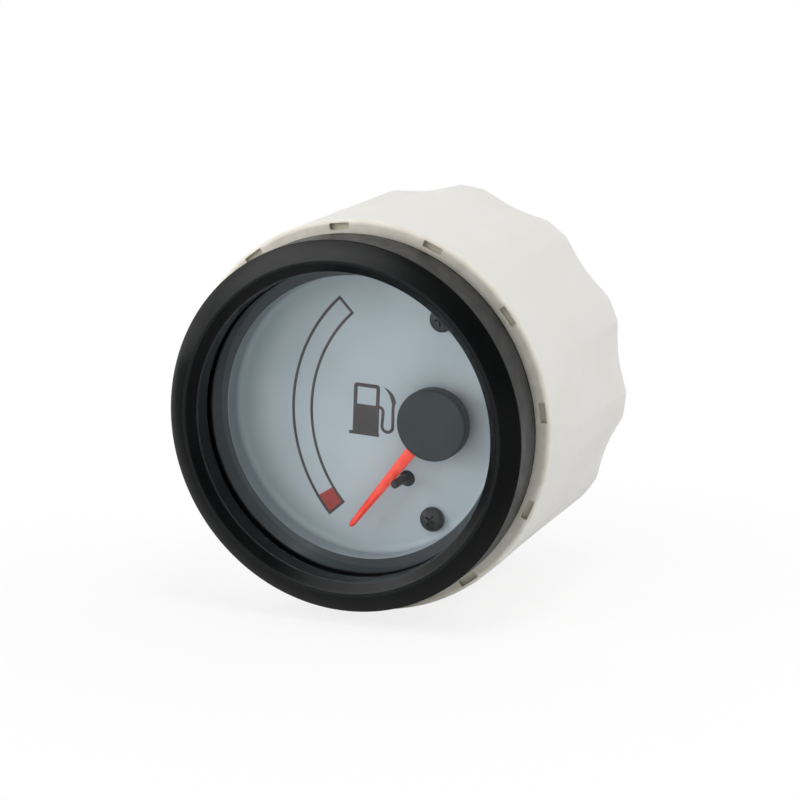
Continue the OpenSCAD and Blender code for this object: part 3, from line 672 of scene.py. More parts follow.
def printed(name, loops, finish):
    """A film of ink on the dial, from closed outlines of (x, z); an outline inside another is a hole."""
    curve = bpy.data.curves.new(name, "CURVE")
    curve.dimensions = "2D"
    curve.fill_mode = "BOTH"
    curve.extrude = INK / 2
    for loop in loops:
        spline = curve.splines.new("POLY")
        spline.points.add(len(loop) - 1)
        for point, (x, z) in zip(spline.points, loop):
            point.co = (x, z, 0, 1)
        spline.use_cyclic_u = True
    flat = link(name, curve)
    mesh = evaluated(flat, name)
    bpy.data.objects.remove(flat)
    stand = Matrix.Rotation(math.radians(90), 4, "X")
    mesh.transform(Matrix.Translation((0, (dial_y - INK / 2) * MM, 0)) @ stand @ Matrix.Scale(MM, 4))
    dress(link(name, mesh), finish, "gauge")


def stroke(path, width):
    """The outline of a pen stroke of this width along an open path."""
    left = []
    right = []
    for i, (x, z) in enumerate(path):
        before = Vector(path[max(i - 1, 0)])
        after = Vector(path[min(i + 1, len(path) - 1)])
        along = (after - before).normalized()
        side = Vector((-along.y, along.x)) * width / 2
        left.append((x + side.x, z + side.y))
        right.append((x - side.x, z - side.y))
    return left + right[::-1]


# %% Level arc and reserve block
ARC_CENTRE = (12.7, -0.4)
ARC_OUTER = 25.9
ARC_INNER = 22.7
ARC_FULL = 132.6
ARC_EMPTY = 221.4
ARC_LINE = 0.47
RESERVE_SPAN = 7.0

half_line = ARC_LINE / 2
edge_turn = math.degrees(ARC_LINE / ARC_OUTER)
reserve_end = ARC_EMPTY - edge_turn


def arc_band(margin, start, end, steps):
    """The outline of the level arc between two angles, made larger or smaller by a margin."""
    outer = arc(ARC_OUTER + margin, start, end, steps, ARC_CENTRE)
    return outer + arc(ARC_INNER - margin, end, start, steps, ARC_CENTRE)


brown_ink = moulded("brown_ink", "#3d3535", "#4a4142", 0.55, grain=0.12, grain_depth=0.0015, patch=4)
outer_loop = arc_band(half_line, ARC_FULL, ARC_EMPTY, 96)
inner_loop = arc_band(-half_line, ARC_FULL + edge_turn, reserve_end, 96)
printed("level_arc", [outer_loop, inner_loop], brown_ink)

red_ink = moulded("red_ink", "#98302c", "#a63a35", 0.5, grain=0.12, grain_depth=0.0015, patch=3)
printed("reserve_block", [arc_band(-half_line, reserve_end - RESERVE_SPAN, reserve_end, 16)], red_ink)

# %% Pump sign
SIGN_CENTRE = (-0.42, 0.6)
SIGN_TURN = -2.2
BODY_HALF = 2.25
BODY_TOP = 4.2
BODY_FOOT = -3.8
FOOT_DROP = 0.55
FOOT_LEFT = -2.85
FOOT_RIGHT = 2.4
FRAME_LINE = 0.62
WINDOW_SILL = 0.74
CORNER = 0.55
HOSE_W = 0.52


def on_sign(path):
    """A path drawn about the sign's middle, turned and set on the dial."""
    c = math.cos(math.radians(SIGN_TURN))
    s = math.sin(math.radians(SIGN_TURN))
    return [(SIGN_CENTRE[0] + x * c - z * s, SIGN_CENTRE[1] + x * s + z * c) for x, z in path]


body_loop = [(-BODY_HALF, BODY_FOOT)]
body_loop += arc(CORNER, 180, 90, 8, (-BODY_HALF + CORNER, BODY_TOP - CORNER))
body_loop += arc(CORNER, 90, 0, 8, (BODY_HALF - CORNER, BODY_TOP - CORNER))
body_loop += [(BODY_HALF, BODY_FOOT), (FOOT_RIGHT, BODY_FOOT), (FOOT_RIGHT, BODY_FOOT - FOOT_DROP)]
body_loop += [(FOOT_LEFT, BODY_FOOT - FOOT_DROP), (FOOT_LEFT, BODY_FOOT)]
pane_half = BODY_HALF - FRAME_LINE
window_loop = [(-pane_half, WINDOW_SILL), (-pane_half, BODY_TOP - FRAME_LINE),
               (pane_half, BODY_TOP - FRAME_LINE), (pane_half, WINDOW_SILL)]
printed("pump_body", [on_sign(body_loop), on_sign(window_loop)], brown_ink)

hose_path = [(BODY_HALF - 0.1, 0.6)]
hose_path += arc(0.75, 88, 0, 8, (BODY_HALF - 0.06, -0.15))
hose_path += arc(0.93, 180, 360, 16, (BODY_HALF + 1.5, -2.4))
hose_path += [(BODY_HALF + 2.4, -0.9), (BODY_HALF + 2.36, 0.5), (BODY_HALF + 2.45, 1.7)]
printed("pump_hose", [on_sign(stroke(hose_path, HOSE_W))], brown_ink)
nozzle = arc(2.77, 6, 79, 12, (2.35, 1.25)) + arc(3.4, 54, 7, 12, (0.9, 1.2))
printed("pump_nozzle", [on_sign(nozzle)], brown_ink)

# %% [markdown]
# ## The dial screws and the stop pin
# The two screws are black steel with a cross recess. The head is spun, and two tapered blades are cut out of
# it. Both screws are the same part, so Geometry Nodes puts copies of one model on the points where the solids
# have them. The same tree serves the steel screws at the back, which look the other way.

# %% Geometry Nodes helpers
class Grower(Nodes):
    """A Geometry Nodes tree with named inputs."""

    def __init__(self, name):
        super().__init__(bpy.data.node_groups.new(name, "GeometryNodeTree"))
        for way in ("INPUT", "OUTPUT"):
            self.group.interface.new_socket("Geometry", in_out=way, socket_type="NodeSocketGeometry")
        self.inlet = self.group.nodes.new("NodeGroupInput")
        self.outlet = self.group.nodes.new("NodeGroupOutput")
        self.start = Value(self, self.inlet.outputs[0])

    def input(self, name, kind="Float"):
        """A named input of the tree: Float, Int, Object or Material."""
        self.group.interface.new_socket(name, in_out="INPUT", socket_type="NodeSocket" + kind)
        return Value(self, self.inlet.outputs[name])

    def model(self, name):
        """The shape of an object that a named input brings."""
        return self.node("GeometryNodeObjectInfo", self.input(name, "Object"), out="Geometry")

    def copies(self, places, model):
        return self.node("GeometryNodeInstanceOnPoints", places, None, model)

    def turned(self, copies, angles):
        return self.node("GeometryNodeRotateInstances", copies, None, angles)

    def finish(self, geometry):
        """Real copies with the material, as the export needs them."""
        real = self.node("GeometryNodeRealizeInstances", geometry)
        coated = self.node("GeometryNodeSetMaterial", real, None, self.input("Material", "Material"))
        self.put(self.outlet.inputs[0], coated)
        return self


def points(name, places):
    """A mesh of single points, to carry copies."""
    mesh = bpy.data.meshes.new(name)
    mesh.from_pydata([Vector(p) * MM for p in places], [], [])
    return link(name, mesh)


def grown(name, tree, places, finish, values, sharp=40):
    """What a tree grows on a few points, as a plain object. The models that it copied go."""
    base = points(name + "_base", places)
    modifier = base.modifiers.new(name, "NODES")
    modifier.node_group = tree.group
    values = {**values, "Material": finish.material}
    for item in tree.group.interface.items_tree:
        if item.in_out == "INPUT" and item.name in values:
            modifier[item.identifier] = values[item.name]
    mesh = evaluated(base, name)
    for used in (base, *values.values()):
        if isinstance(used, bpy.types.Object):
            bpy.data.objects.remove(used)
    shade(mesh, sharp)
    return link(name, mesh)


# %% Screws
BLADE_TAPER = 0.55
BLADE_THIN = 0.7


def recess_tool(top, depth, reach, width):
    """Two crossed blades that narrow downwards, for a cross recess cut from the front."""
    bm = bmesh.new()
    for turn in (0, 90):
        turning = Matrix.Rotation(math.radians(turn), 3, "Y")

        def corner(x, y, z):
            deep = y > 0
            x *= 2 * reach * (BLADE_TAPER if deep else 1.0)
            z *= width * (BLADE_THIN if deep else 1.0)
            return turning @ Vector((x, 0, z)) + Vector((0, top + depth if deep else top - 0.5, 0))

        add_block(bm, corner)
    return as_object(bm, "recess_tool")


def screw_model(head_r, head_h, shank_r, length, recess):
    """One screw at the origin, its head towards -Y, with a cross recess of this depth, reach and width."""
    edge = head_h * 0.45
    screw = turned("screw_model", eased([
        (0, length, 0),
        (shank_r, length, 0.1),
        (shank_r, 0, 0),
        (head_r, 0, 0.08),
        *ellipse(0, -edge, head_r, edge - head_h, 0, 90, 10)[:-1],
        (0, -head_h, 0),
    ]), steps=48)
    combine(screw, recess_tool(-head_h, *recess), "DIFFERENCE")
    return screw


def screws_tree():
    """Puts one screw on every point, turned a little differently each time."""
    tree = Grower("screws_on_points")
    spin = tree.node("GeometryNodeInputIndex") * tree.input("Spin")
    copies = tree.copies(tree.start, tree.model("Screw"))
    return tree.finish(tree.turned(copies, tree.vector(tree.input("Turn Over"), spin)))


HEAD_H = 1.3
SHANK_R = 0.8
blackened = Finish("blackened_steel", "#1c1d20", 0.38, metallic=0.35)
blackened.set(Base_Color=blackened.blend(blackened.cloud(0.8, 0.35), "#17181a", "#2c2d31"))
blackened.relief(blackened.noise(0.2), 0.004)

on_screws = screws_tree()
dial_screw = screw_model(HEAD_R, HEAD_H, SHANK_R, screws_high.y - dial_y, (0.75, 1.25, 0.42))
dial_screws = grown("dial_screws_black", on_screws, [(x, dial_y, z) for x, z in screw_places], blackened,
                    {"Screw": dial_screw, "Turn Over": 0.0, "Spin": 0.6})
dress(dial_screws, blackened, "gauge", ["dial_screws"])

# %% [markdown]
# The stop pin is eccentric: a round collar fills the dial's hole, and the pin stands beside the collar's middle,
# so that turning the collar sets the stop. The offset points along the circle that the pointer would follow.

# %% Stop pin
PIN_R = 0.7
COLLAR_R = 1.3
COLLAR_SINK = 0.1
STOP_SHIFT = 0.3
to_collar = Vector((collar[0] - pivot_x, collar[1]))
stop_dist = math.sqrt(to_collar.length_squared - STOP_SHIFT**2)
stop_turn = math.atan2(to_collar.y, to_collar.x) - math.atan2(STOP_SHIFT, stop_dist)
stop = (pivot_x + stop_dist * math.cos(stop_turn), stop_dist * math.sin(stop_turn))
collar_y = dial_y + COLLAR_SINK
root_y = dial_y + DIAL_T / 2
collar_outline = eased([(0, pin_high.y, 0), (PIN_R, pin_high.y, 0.1), (PIN_R, dial_high.y, 0),
                        (COLLAR_R, dial_high.y, 0.05), (COLLAR_R, collar_y, 0.12), (0, collar_y, 0)])
pin_outline = eased([(0, pin_low.y, 0), (PIN_R, pin_low.y, 0.3), (PIN_R, root_y, 0), (0, root_y, 0)])
peg = turned("stop_pin_peg", collar_outline, collar, 64)
combine(peg, turned("stop_pin_top", pin_outline, stop, 32), "UNION")
shade(peg.data)
dress(peg, blackened, "gauge", ["stop_pin"])

# %% [markdown]
# ## The pointer and its cap
# The arm is a moulded taper with a low ridge along its middle, so that one flank is always brighter than the
# other. It is lofted from a few cross-sections. A fluorescent paint returns more red than the light brings,
# which a trace of emission stands for. The cap is a shallow cup, and the arm passes through its skirt.

# %% Pointer
REST_ANGLE = 232.0
POINTER_LEN = 23.1
ROOT_W = 1.9
TIP_W = 0.9
HUB_R = 2.6
BORE_R = 0.61
TAIL_LEN = 4.65
TAIL_ROOT = 1.5

pointer_front = pointer_low.y
pointer_back = pointer_high.y
rest = math.radians(REST_ANGLE)
arm = Vector((math.cos(rest), 0, math.sin(rest)))
across = Vector((-arm.z, 0, arm.x))


def on_arm(distance, aside, y):
    """A place by its distance from the pivot, its distance from the arm's middle line and its y."""
    return Vector((pivot_x, y, 0)) + arm * distance + across * aside


def arm_section(distance, width, height_share):
    """Six corners of the arm's cross-section at a distance from the pivot."""
    height = (pointer_front - pointer_back) * height_share
    crest = pointer_back + height
    edge = pointer_back + height * 0.55
    shape = [(-0.5, pointer_back), (-0.5, edge), (-0.16, crest), (0.16, crest), (0.5, edge), (0.5, pointer_back)]
    return [on_arm(distance, side * width, y) for side, y in shape]


def tail_block():
    """The short tail behind the hub, as wide as two roots of the arm."""
    bm = bmesh.new()
    add_block(bm, lambda x, y, z: on_arm(-TAIL_LEN if x < 0 else -TAIL_ROOT, z * 2 * ROOT_W,
                                         pointer_front if y < 0 else pointer_back))
    return as_object(bm, "pointer_tail")


slope = (TIP_W - ROOT_W) / (POINTER_LEN - cap_r)
stations = [(0.2, ROOT_W, 1.0), (cap_r, ROOT_W, 1.0)]
stations += [(d, ROOT_W + slope * (d - cap_r), 1.0) for d in (10.0, 14.0, 18.0, POINTER_LEN - 0.6)]
for back_off, width_share, height_share in ((0.22, 0.82, 0.95), (0.06, 0.5, 0.85), (0.0, 0.2, 0.75)):
    stations.append((POINTER_LEN - back_off, TIP_W * width_share, height_share))
pointer = lofted("pointer_arm", [arm_section(*s) for s in stations], 35)
hub_outline = eased([(BORE_R, pointer_front, 0.05), (HUB_R, pointer_front, 0.1), (HUB_R, pointer_back, 0.05),
                     (BORE_R, pointer_back, 0.05)])
combine(pointer, turned("pointer_hub", hub_outline, (pivot_x, 0), 64), "UNION")
combine(pointer, tail_block(), "UNION")
shade(pointer.data, 35)
red = Finish("pointer_orange_red", "#f2402f", 0.34)
red.set(Base_Color=red.blend(red.cloud(1.6), "#ee3527", "#f75038"), Roughness=red.cloud(0.8, 0.3, 0.7, 0.28, 0.42),
        Emission_Color=srgb("#ff3a24"), Emission_Strength=0.12)
red.relief(red.noise(0.25), 0.003)
dress(pointer, red, "needle", ["pointer"])

# %% Pointer cap
CAP_WALL = 0.7
cap_front = cap_low.y
cap_back = cap_high.y
cap_outline = eased([
    (0, cap_front, 0),
    (cap_r, cap_front, 0.4),
    (cap_r, cap_back, 0.12),
    (cap_r - CAP_WALL, cap_back, 0.08),
    (cap_r - CAP_WALL, cap_front + CAP_WALL, 0.2),
    (0, cap_front + CAP_WALL, 0),
])
cap = turned("pointer_cap_cup", cap_outline, (pivot_x, 0), 128)
cap_satin = moulded("cap_satin", "#21282b", "#282f33", 0.5, grain=0.22, grain_depth=0.004, specular=0.35)
dress(cap, cap_satin, "needle", ["pointer_cap"])

# %% [markdown]
# ## The clamp nut, by rule
# The nut's outside follows a simple rule, so Geometry Nodes draws it. A grid is wrapped round the axis: one
# direction becomes the angle, the other walks along a closed outline. Each flute lowers the radius by a cosine
# across its share of the pitch, and by more and more towards the rear. The columns of the grid are spaced so
# that a column falls exactly on each crease. The twelve rim pockets are copies of one small block, set round a
# circle and cut out of the front face in the same tree.

# %% Clamp nut tree
def fluted_tree():
    """A closed outline swept round the axis, with flutes that deepen to the rear and pockets in the rim."""
    tree = Grower("fluted_nut")
    count = tree.input("Outline Points", "Int")
    flutes = tree.input("Flutes", "Int")
    spans = tree.input("Spans per Flute", "Int")
    share = tree.input("Flute Share")
    front = tree.input("Flutes Start")
    first = tree.input("First Flute")

    columns = flutes * spans
    grid = tree.node("GeometryNodeMeshGrid", columns, count, columns + 1.0, count + 1.0)
    place = tree.node("GeometryNodeInputPosition")
    x, y, _ = tree.parts(place)
    column = tree.maths("ROUND", x + columns * 0.5)
    row = tree.maths("MODULO", tree.maths("ROUND", y + count * 0.5), count)
    corner = tree.node("GeometryNodeSampleIndex", tree.model("Outline"), place, row, data_type="FLOAT_VECTOR")
    radius, height, _ = tree.parts(corner)

    pitch = tree.maths("DIVIDE", 2 * math.pi, flutes)
    turn = column / spans - share * 0.5
    off = turn - tree.maths("ROUND", turn)
    reach = tree.maths("MINIMUM", tree.maths("ABSOLUTE", off / share), 0.5)
    wave = tree.maths("COSINE", reach * math.pi)
    along = (height - front) / (tree.input("Flutes End") - front)
    along = tree.maths("MAXIMUM", tree.maths("MINIMUM", along, 1.0), 0.0)
    on_outside = tree.maths("GREATER_THAN", radius, tree.input("Outside From"))
    radius = radius - wave * along * (tree.input("Flute Depth") * on_outside)
    angle = first + turn * pitch
    wrapped = tree.vector(radius * tree.maths("COSINE", angle), height, radius * tree.maths("SINE", angle))
    moved = tree.node("GeometryNodeSetPosition", grid, None, wrapped)
    closed = tree.node("GeometryNodeMergeByDistance", moved, None, 1e-6)

    seats = tree.node("GeometryNodeMeshLine", flutes, (0, 0, 0), (0, 0, 0))
    seat_angle = first + tree.input("Pocket Turn") + tree.node("GeometryNodeInputIndex") * pitch
    pockets = tree.turned(tree.copies(seats, tree.model("Pocket")), tree.vector(0.0, seat_angle * -1.0))
    blocks = tree.node("GeometryNodeRealizeInstances", pockets)
    return tree.finish(tree.node("GeometryNodeMeshBoolean", closed, blocks, operation="DIFFERENCE", solver="MANIFOLD"))


# %% Clamp nut
NUT_BORE_R = 26.2
RECESS_R = 28.7
RECESS_Y = 1.45
NUT_TAPER = 0.35
RIM_ROUND = 0.8
REAR_ROUND = 0.5
FLUTES = 12
FLUTE_SHARE = 0.74
FLUTE_DEPTH = 1.15
FLUTE_START = 5.0
FIRST_FLUTE = 8.3
OUTSIDE_FROM = 30.6
SPANS = 50

nut_front = nut_low.y
nut_back = nut_high.y
nut_tail_r = nut_r - NUT_TAPER
nut_length = nut_back - nut_front
nut_outline = ellipse(nut_r - RIM_ROUND, nut_front + RIM_ROUND, RIM_ROUND, -RIM_ROUND, 90, 0, 8)
for part in (0.06, FLUTE_START / nut_length, 0.3, 0.5, 0.7, 0.9):
    nut_outline.append((nut_r - NUT_TAPER * part, nut_front + nut_length * part, 0))
nut_outline += ellipse(nut_tail_r - REAR_ROUND, nut_back - REAR_ROUND, REAR_ROUND, REAR_ROUND, 0, 90, 6)
nut_outline += [
    (NUT_BORE_R, nut_back, 0.5),
    (NUT_BORE_R, RECESS_Y, 0.15),
    (RECESS_R, RECESS_Y, 0.1),
    (RECESS_R, nut_front, 0.15),
]
nut_points = points("nut_outline", [(p.x, p.y, 0) for p in eased(nut_outline)])
print("outline points of the nut:", len(nut_points.data.vertices))

# %% Rim pocket
POCKET_W = 3.4
POCKET_H = 1.1
POCKET_DEPTH = 0.7
POCKET_WALL = 0.5
POCKET_TURN = -1.5
POCKET_ROUND = 0.2


def pocket_block():
    """One pocket as a block with rounded upright edges, on the +X side of the axis."""
    bm = bmesh.new()
    middle = nut_r - POCKET_WALL - POCKET_H / 2
    add_block(bm, lambda x, y, z: Vector((middle + x * POCKET_H, nut_front + y * 2 * POCKET_DEPTH, z * POCKET_W)))
    upright = [e for e in bm.edges if abs(e.verts[0].co.y - e.verts[1].co.y) > POCKET_DEPTH * MM]
    bmesh.ops.bevel(bm, geom=upright, offset=POCKET_ROUND * MM, segments=3, affect="EDGES", profile=0.5)
    return as_object(bm, "pocket_block")


# %% [markdown]
# The nylon lets a little light in, so it is given some subsurface scattering. A painted warm cream tint marks the
# shaded rim face, and painted olive shade darkens the depth of the pockets. That shade keeps to the radii and
# depths of the pockets, because further out and further back the same radii belong to the flutes.

# %% Clamp nut finish
RIM_FADE = (0.1, 1.6)
POCKET_R = (29.0, 29.3, 31.3, 31.45)
POCKET_SUNK = (0.1, 0.4, 1.0, 1.2)


def nut_finish():
    """Warm white nylon: a painted warm tint on the shaded rim, painted olive shade in the pockets, faint flow marks.
    """
    finish = Finish("nut_white_nylon", "#dedcd7", 0.55, specular=0.4)
    away, along = finish.round_place()
    body = finish.blend(finish.cloud(14.0, detail=1.0), "#e1e0db", "#e3e2de")
    # Painted shade: a warm cream tint on the shaded rim face, and an olive shade in the depth of the pockets.
    rim_warm_shade = finish.blend(finish.cloud(2.2), "#e0dbce", "#eae6dc")
    rim = finish.ramp(along, nut_front + RIM_FADE[0], nut_front + RIM_FADE[1], 1.0, 0.0)
    sunk = finish.band(along, *[nut_front + depth for depth in POCKET_SUNK])
    pocket_shade = finish.band(away, *POCKET_R) * sunk
    finish.set(Base_Color=finish.blend(pocket_shade, finish.blend(rim, body, rim_warm_shade), "#d2cfbd"),
               Roughness=finish.cloud(2.5, 0.25, 0.75, 0.46, 0.62), Subsurface_Weight=0.25,
               Subsurface_Radius=(1.0, 0.95, 0.85), Subsurface_Scale=0.8 * MM)
    finish.relief(finish.noise(0.3, 2.0), 0.0025)
    return finish


white = nut_finish()
nut = grown("clamp_nut_moulding", fluted_tree(), [(0, 0, 0)], white, {
    "Outline": nut_points, "Outline Points": len(nut_points.data.vertices), "Flutes": FLUTES,
    "Spans per Flute": SPANS, "Flute Share": FLUTE_SHARE, "Flute Depth": FLUTE_DEPTH * MM,
    "Flutes Start": (nut_front + FLUTE_START) * MM, "Flutes End": (nut_back - REAR_ROUND) * MM,
    "First Flute": math.radians(FIRST_FLUTE), "Outside From": OUTSIDE_FROM * MM, "Pocket": pocket_block(),
    "Pocket Turn": math.radians(POCKET_TURN)}, sharp=50)
dress(nut, white, "nut", ["clamp_nut"])

# %% [markdown]
# ## The threads
# The solids leave the thread out, because a plain bore round a plain barrel is enough for them. Here the ridges
# are drawn. The barrel's ridge is broken by the groove for the washer's tab, so one turn runs from one edge of
# the groove round to the other, and Geometry Nodes stacks copies of that turn at the pitch. The nut's own ridge
# lies half a pitch further, so that the two interleave.

# %% Threads
PITCH = 3.0
BARREL_R = 25.4
THREAD_H = 0.5
THREAD_START = 2.6
THREAD_SINK = 0.05
NUT_CREST = 0.3
GROOVE_HALF = 4.2
NUT_TURNS = 11
FADE_STEPS = 4


def ridge(name, base_r, crest_r, y_start, from_deg, to_deg, steps):
    """A right-handed ridge of trapezoid section along part of a helix about the axis."""
    sections = []
    for i in range(steps + 1):
        turn = math.radians(from_deg + (to_deg - from_deg) * i / steps)
        fade = max(min(1.0, i / FADE_STEPS, (steps - i) / FADE_STEPS), 0.02)
        y = y_start + PITCH * turn / (2 * math.pi)
        top_r = base_r + (crest_r - base_r) * fade
        shape = [(base_r, -0.65), (top_r, -0.28), (top_r, 0.28), (base_r, 0.65)]
        sections.append([Vector((r * math.cos(turn), y + shift, -r * math.sin(turn))) for r, shift in shape])
    return lofted(name, sections, 30)


def stack_tree():
    """Copies of a model at equal steps along the axis."""
    tree = Grower("stacked_turns")
    step = tree.vector(0.0, tree.input("Pitch"))
    line = tree.node("GeometryNodeMeshLine", tree.input("Turns", "Int"), (0, 0, 0), step)
    return tree.finish(tree.copies(line, tree.model("Model")))


case_black = moulded("case_black_nylon", "#1e1f21", "#2a2b2e", 0.5, grain=0.3, grain_depth=0.006)
one_turn = ridge("one_turn", BARREL_R - THREAD_SINK, BARREL_R + THREAD_H, THREAD_START - PITCH / 4,
                 90 + GROOVE_HALF, 450 - GROOVE_HALF, 72)
barrel_thread = grown("barrel_thread", stack_tree(), [(0, 0, 0)], case_black,
                      {"Model": one_turn, "Turns": 12, "Pitch": PITCH * MM})
dress(barrel_thread, case_black, "gauge")
nut_thread = ridge("nut_thread", NUT_BORE_R + THREAD_SINK, BARREL_R + NUT_CREST, THREAD_START + PITCH / 2,
                   120, 120 + 360 * NUT_TURNS, 60 * NUT_TURNS)
dress(nut_thread, white, "nut")

# %% [markdown]
# ## The case, the seal, the washer and the terminals
# These solids have the right shape already, only with edges too sharp for a moulding or a stamping. Each is
# copied, its flat faces are merged, and every sharp edge gets a small bevel. The copy stands for its solid. The
# seal also gets the outer edge that fills the bezel's rebate, which is the thin black line behind the bezel.

# %% Softened copies
SEAL_EDGE_R = 29.85
SEAL_OVERLAP = 0.05
FLAT_ANGLE = math.radians(1.5)
SHARP_ANGLE = math.radians(28)


def softened(node, width, finish, body):
    """A copy of a solid with its sharp edges bevelled, to stand in for it."""
    bm = bmesh.new()
    bm.from_mesh(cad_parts[node].data)
    bmesh.ops.remove_doubles(bm, verts=bm.verts, dist=1e-6)
    bmesh.ops.dissolve_limit(bm, angle_limit=FLAT_ANGLE, verts=bm.verts, edges=bm.edges)
    edges = [e for e in bm.edges if len(e.link_faces) == 2 and e.calc_face_angle(0) > SHARP_ANGLE]
    bmesh.ops.bevel(bm, geom=edges, offset=width * MM, segments=2, affect="EDGES", profile=0.5, clamp_overlap=True)
    bmesh.ops.triangulate(bm, faces=[f for f in bm.faces if len(f.verts) > 4])
    dress(as_smooth_object(bm, node + "_soft", 30), finish, body, [node])


rubber = moulded("seal_rubber", "#0d0d0e", "#161617", 0.75, grain=0.25, grain_depth=0.006, specular=0.3)
nylon = moulded("washer_nylon", "#151516", "#1f1f21", 0.42, grain=0.4, grain_depth=0.003)
tinned = metal("tinned_brass", "#b39a5c", "#d3c184", 0.28, (1, 6, 1), 1.5)
holder_grey = moulded("holder_nylon", "#2c2d30", "#393a3e", 0.46, grain=0.3, grain_depth=0.006)
softened("case", 0.12, case_black, "gauge")
softened("panel_seal", 0.1, rubber, "gauge")
edge_root = SEAL_SEAT_R - SEAL_OVERLAP
seal_edge = eased([(edge_root, 0, 0), (edge_root, -SEAL_T, 0), (SEAL_EDGE_R, -SEAL_T, 0.25), (SEAL_EDGE_R, 0, 0.25)])
dress(turned("seal_edge", seal_edge, steps=240), rubber, "gauge")
softened("slip_washer", 0.08, nylon, "washer")
for blade in ("supply_blade", "sender_blade", "earth_blade"):
    softened(blade, 0.08, tinned, "gauge")
softened("bulb_holder", 0.15, holder_grey, "bulb_unit")

# %% Case screws
CASE_HEAD_R = 2.5
CASE_HEAD_H = 1.9
CASE_SHANK_R = 1.0
case_back = box_mm("case")[1].y
zinc = metal("zinc_plated", "#8d9296", "#b4b9bc", 0.3, (1, 1, 1), 0.8)
screw_low, screw_high = box_mm("case_screws")
rear_places = [(screw_low.x + CASE_HEAD_R, 0), *screw_places]
case_screw = screw_model(CASE_HEAD_R, CASE_HEAD_H, CASE_SHANK_R, case_back - screw_low.y, (1.1, 1.5, 0.5))
case_screws = grown("case_screws_zinc", on_screws, [(x, case_back, z) for x, z in rear_places], zinc,
                    {"Screw": case_screw, "Turn Over": math.pi, "Spin": 0.9})
dress(case_screws, zinc, "gauge", ["case_screws"])

# %% [markdown]
# ## The pieces inside
# The movement, the board and the lamp are hidden while the gauge is closed, and their solids stay as they are.
# Each still gets the material of the real thing, so that an opened copy looks right: brass with turning
# streaks, enamelled copper with the lines of its winding, a green board, a ceramic block.

# %% Inner materials
copper = metal("enamelled_copper", "#8a3f1c", "#b5622f", 0.3, (1, 1, 1), 1.2)
winding = copper.node("ShaderNodeTexWave", copper.place, 1 / (2.2 * MM), bands_direction="Y", out="Fac")
copper.relief(winding, 0.05)
brass = metal("turned_brass", "#a3823f", "#c6a45c", 0.25, (1, 9, 1), 0.8)
steel = metal("ground_steel", "#9aa0a5", "#c2c7cb", 0.22, (1, 9, 1), 0.6)
can = metal("drawn_steel", "#7f868b", "#a2a8ac", 0.34, (1, 5, 1), 2.5)
frame_white = moulded("frame_white", "#d5d1c6", "#e2dfd6", 0.5)
bobbin = moulded("bobbin_natural", "#c9c2ae", "#d8d2c1", 0.45, patch=4)
acrylic = Finish("guide_acrylic", "#f2f6f8", 0.05)
acrylic.set(Transmission_Weight=0.9, Roughness=acrylic.cloud(4, 0.3, 0.7, 0.04, 0.16))
glass = Finish("bulb_glass", "#f8f4ea", 0.0)
glass.set(Transmission_Weight=1.0, Roughness=glass.cloud(2, 0.4, 0.8, 0.0, 0.06))
board = moulded("solder_mask", "#1d4a25", "#276231", 0.28, grain=0.5, grain_depth=0.004, patch=5)
ceramic = moulded("resistor_ceramic", "#cfc9b9", "#dcd7ca", 0.7, grain=0.2, grain_depth=0.02, patch=2)
ferrite = moulded("bonded_ferrite", "#37393b", "#4a4c4f", 0.6, grain=0.15, grain_depth=0.01, patch=1.5)
inner = {
    "lens_gasket": rubber, "light_guide": acrylic, "movement_frame": frame_white, "front_bearing": brass,
    "rear_bearing": brass, "bobbin_front": bobbin, "bobbin_rear": bobbin, "coil_inner": copper,
    "coil_outer": copper, "shield_can": can, "circuit_board": board, "ballast_resistor": ceramic,
    "spindle": steel, "rotor_magnet": ferrite, "bulb": glass,
}
for node, finish in inner.items():
    cover(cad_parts[node], finish)
print("inner pieces covered:", len(inner))

# %% [markdown]
# ## Floor, backdrop and lamps
# The photograph is a cut-out on white. The floor is white wherever the camera looks past the shadow, and the
# world is white for the camera, while the light that really falls on the gauge is softer. It swells towards the
# right, which lights the nut's flank, and towards the left of the front, which lights the dial. A dark patch lies
# on the camera's right, because that is what the gloss of the bezel shows, and it keeps light off the left edge
# of the dial. Reflections see a bright window high on the left. One soft lamp stands low on the left, and the
# cap's shadow points away from it. A second one, almost overhead, brings out the flutes.

# %% Floor
FLOOR_HALF = 1.2
SHADOW_REACH = (0.03, 0.12)
BEHIND = (-0.05, 0.1)

floor_mesh = bpy.data.meshes.new("floor")
corners = [(-1, -1), (1, -1), (1, 1), (-1, 1)]
floor_mesh.from_pydata([(x * FLOOR_HALF, y * FLOOR_HALF, 0) for x, y in corners], [], [(0, 1, 2, 3)])
floor = link("floor", floor_mesh)
floor.location.z = cad_low.z
paper = Finish("white_paper", "#f4f4f4", 0.9)
seen = paper.seen()
away_behind = paper.ramp(paper.parts(paper.place)[1], *BEHIND, 0.1, 0.9)
glow = paper.node("ShaderNodeEmission", (1, 1, 1, 1), paper.maths("MAXIMUM", seen, away_behind))
spread = paper.node("ShaderNodeVectorMath", paper.place, operation="LENGTH", out="Value")
clean = paper.ramp(spread, *SHADOW_REACH, 0.82, 1.0)
paper.swap(paper.maths("MAXIMUM", seen * clean, paper.ray("Glossy")), glow)
cover(floor, paper)

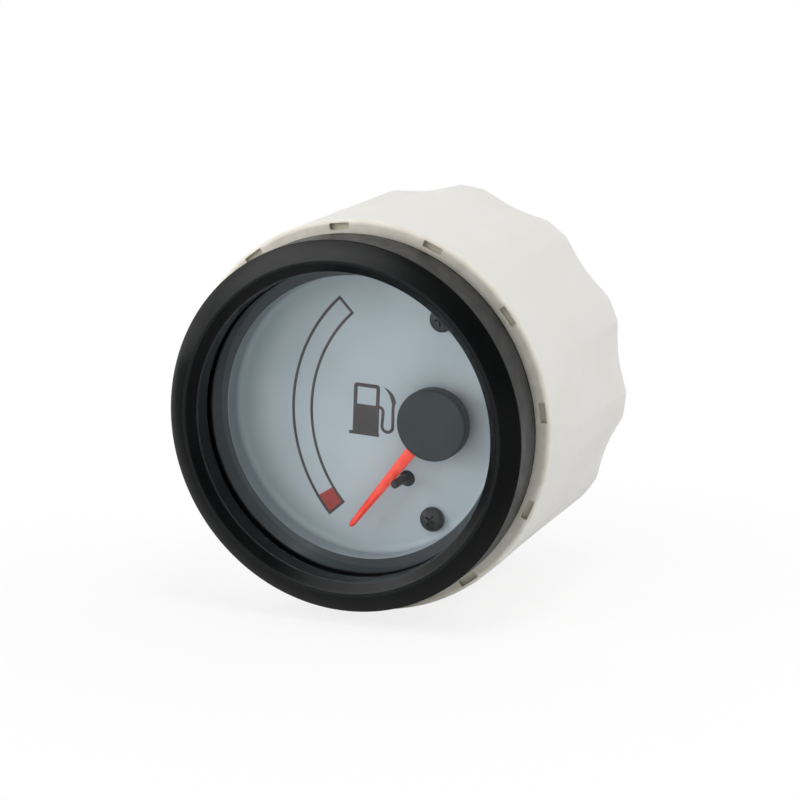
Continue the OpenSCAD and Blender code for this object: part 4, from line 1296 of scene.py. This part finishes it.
# %% World
FILL = 0.78
ZENITH = 0.48
RIGHT_SIDE = (0.95, 0, 0.31)
DIAL_SIDE = (-0.4, -0.88, 0.25)
DARK_SIDE = (0.62, -0.76, 0.17)
WINDOW_SIDE = (-0.5, -0.6, 0.62)

world = bpy.data.worlds.new("white_studio")
world.use_nodes = True
bpy.context.scene.world = world
sky = Nodes(world.node_tree)
toward = sky.node("ShaderNodeTexCoord", out="Generated")
upward = sky.parts(toward)[2]


def patch(side, low, high, outside, middle):
    """A level that changes smoothly towards one side of the sky."""
    facing = Vector(side).normalized()
    cosine = sky.node("ShaderNodeVectorMath", toward, facing, operation="DOT_PRODUCT", out="Value")
    return sky.ramp(cosine, low, high, outside, middle)


sides = patch(RIGHT_SIDE, 0.3, 0.95, 0.0, 1.05) + patch(DIAL_SIDE, 0.5, 0.92, 0.0, 1.2)
diffuse = sky.ramp(upward, 0.3, 0.9, FILL, ZENITH) + sides
shine = sky.ramp(upward, 0.6, 0.85, 0.6, 0.08) + patch(WINDOW_SIDE, 0.8, 0.97, 0.0, 0.75)
fill = sky.node("ShaderNodeMix", sky.ray("Glossy"), diffuse, shine) * patch(DARK_SIDE, 0.35, 0.92, 1.0, 0.03)
strength = sky.node("ShaderNodeMix", sky.seen(), fill, 1.0)
backdrop = sky.group.nodes["Background"]
sky.put(backdrop.inputs["Color"], (1, 1, 1, 1))
sky.put(backdrop.inputs["Strength"], strength)
print("world nodes:", len(sky.group.nodes))

# %% Lamps
LAMP_DISTANCE = 0.55


def soft_lamp(name, azimuth, elevation, size, power):
    """A square area lamp that looks at the gauge from these angles, and that no gloss mirrors."""
    lamp = link(name, bpy.data.lights.new(name, "AREA"))
    direction = look_from(azimuth, elevation)
    lamp.location = direction * LAMP_DISTANCE
    lamp.rotation_euler = direction.to_track_quat("Z", "Y").to_euler()
    lamp.data.size = size
    lamp.data.energy = power
    lamp.visible_glossy = False


soft_lamp("key", -58, 12, 0.26, 0.55)
soft_lamp("overhead", 60, 76, 0.2, 0.9)
bpy.context.scene.view_settings.view_transform = "Standard"
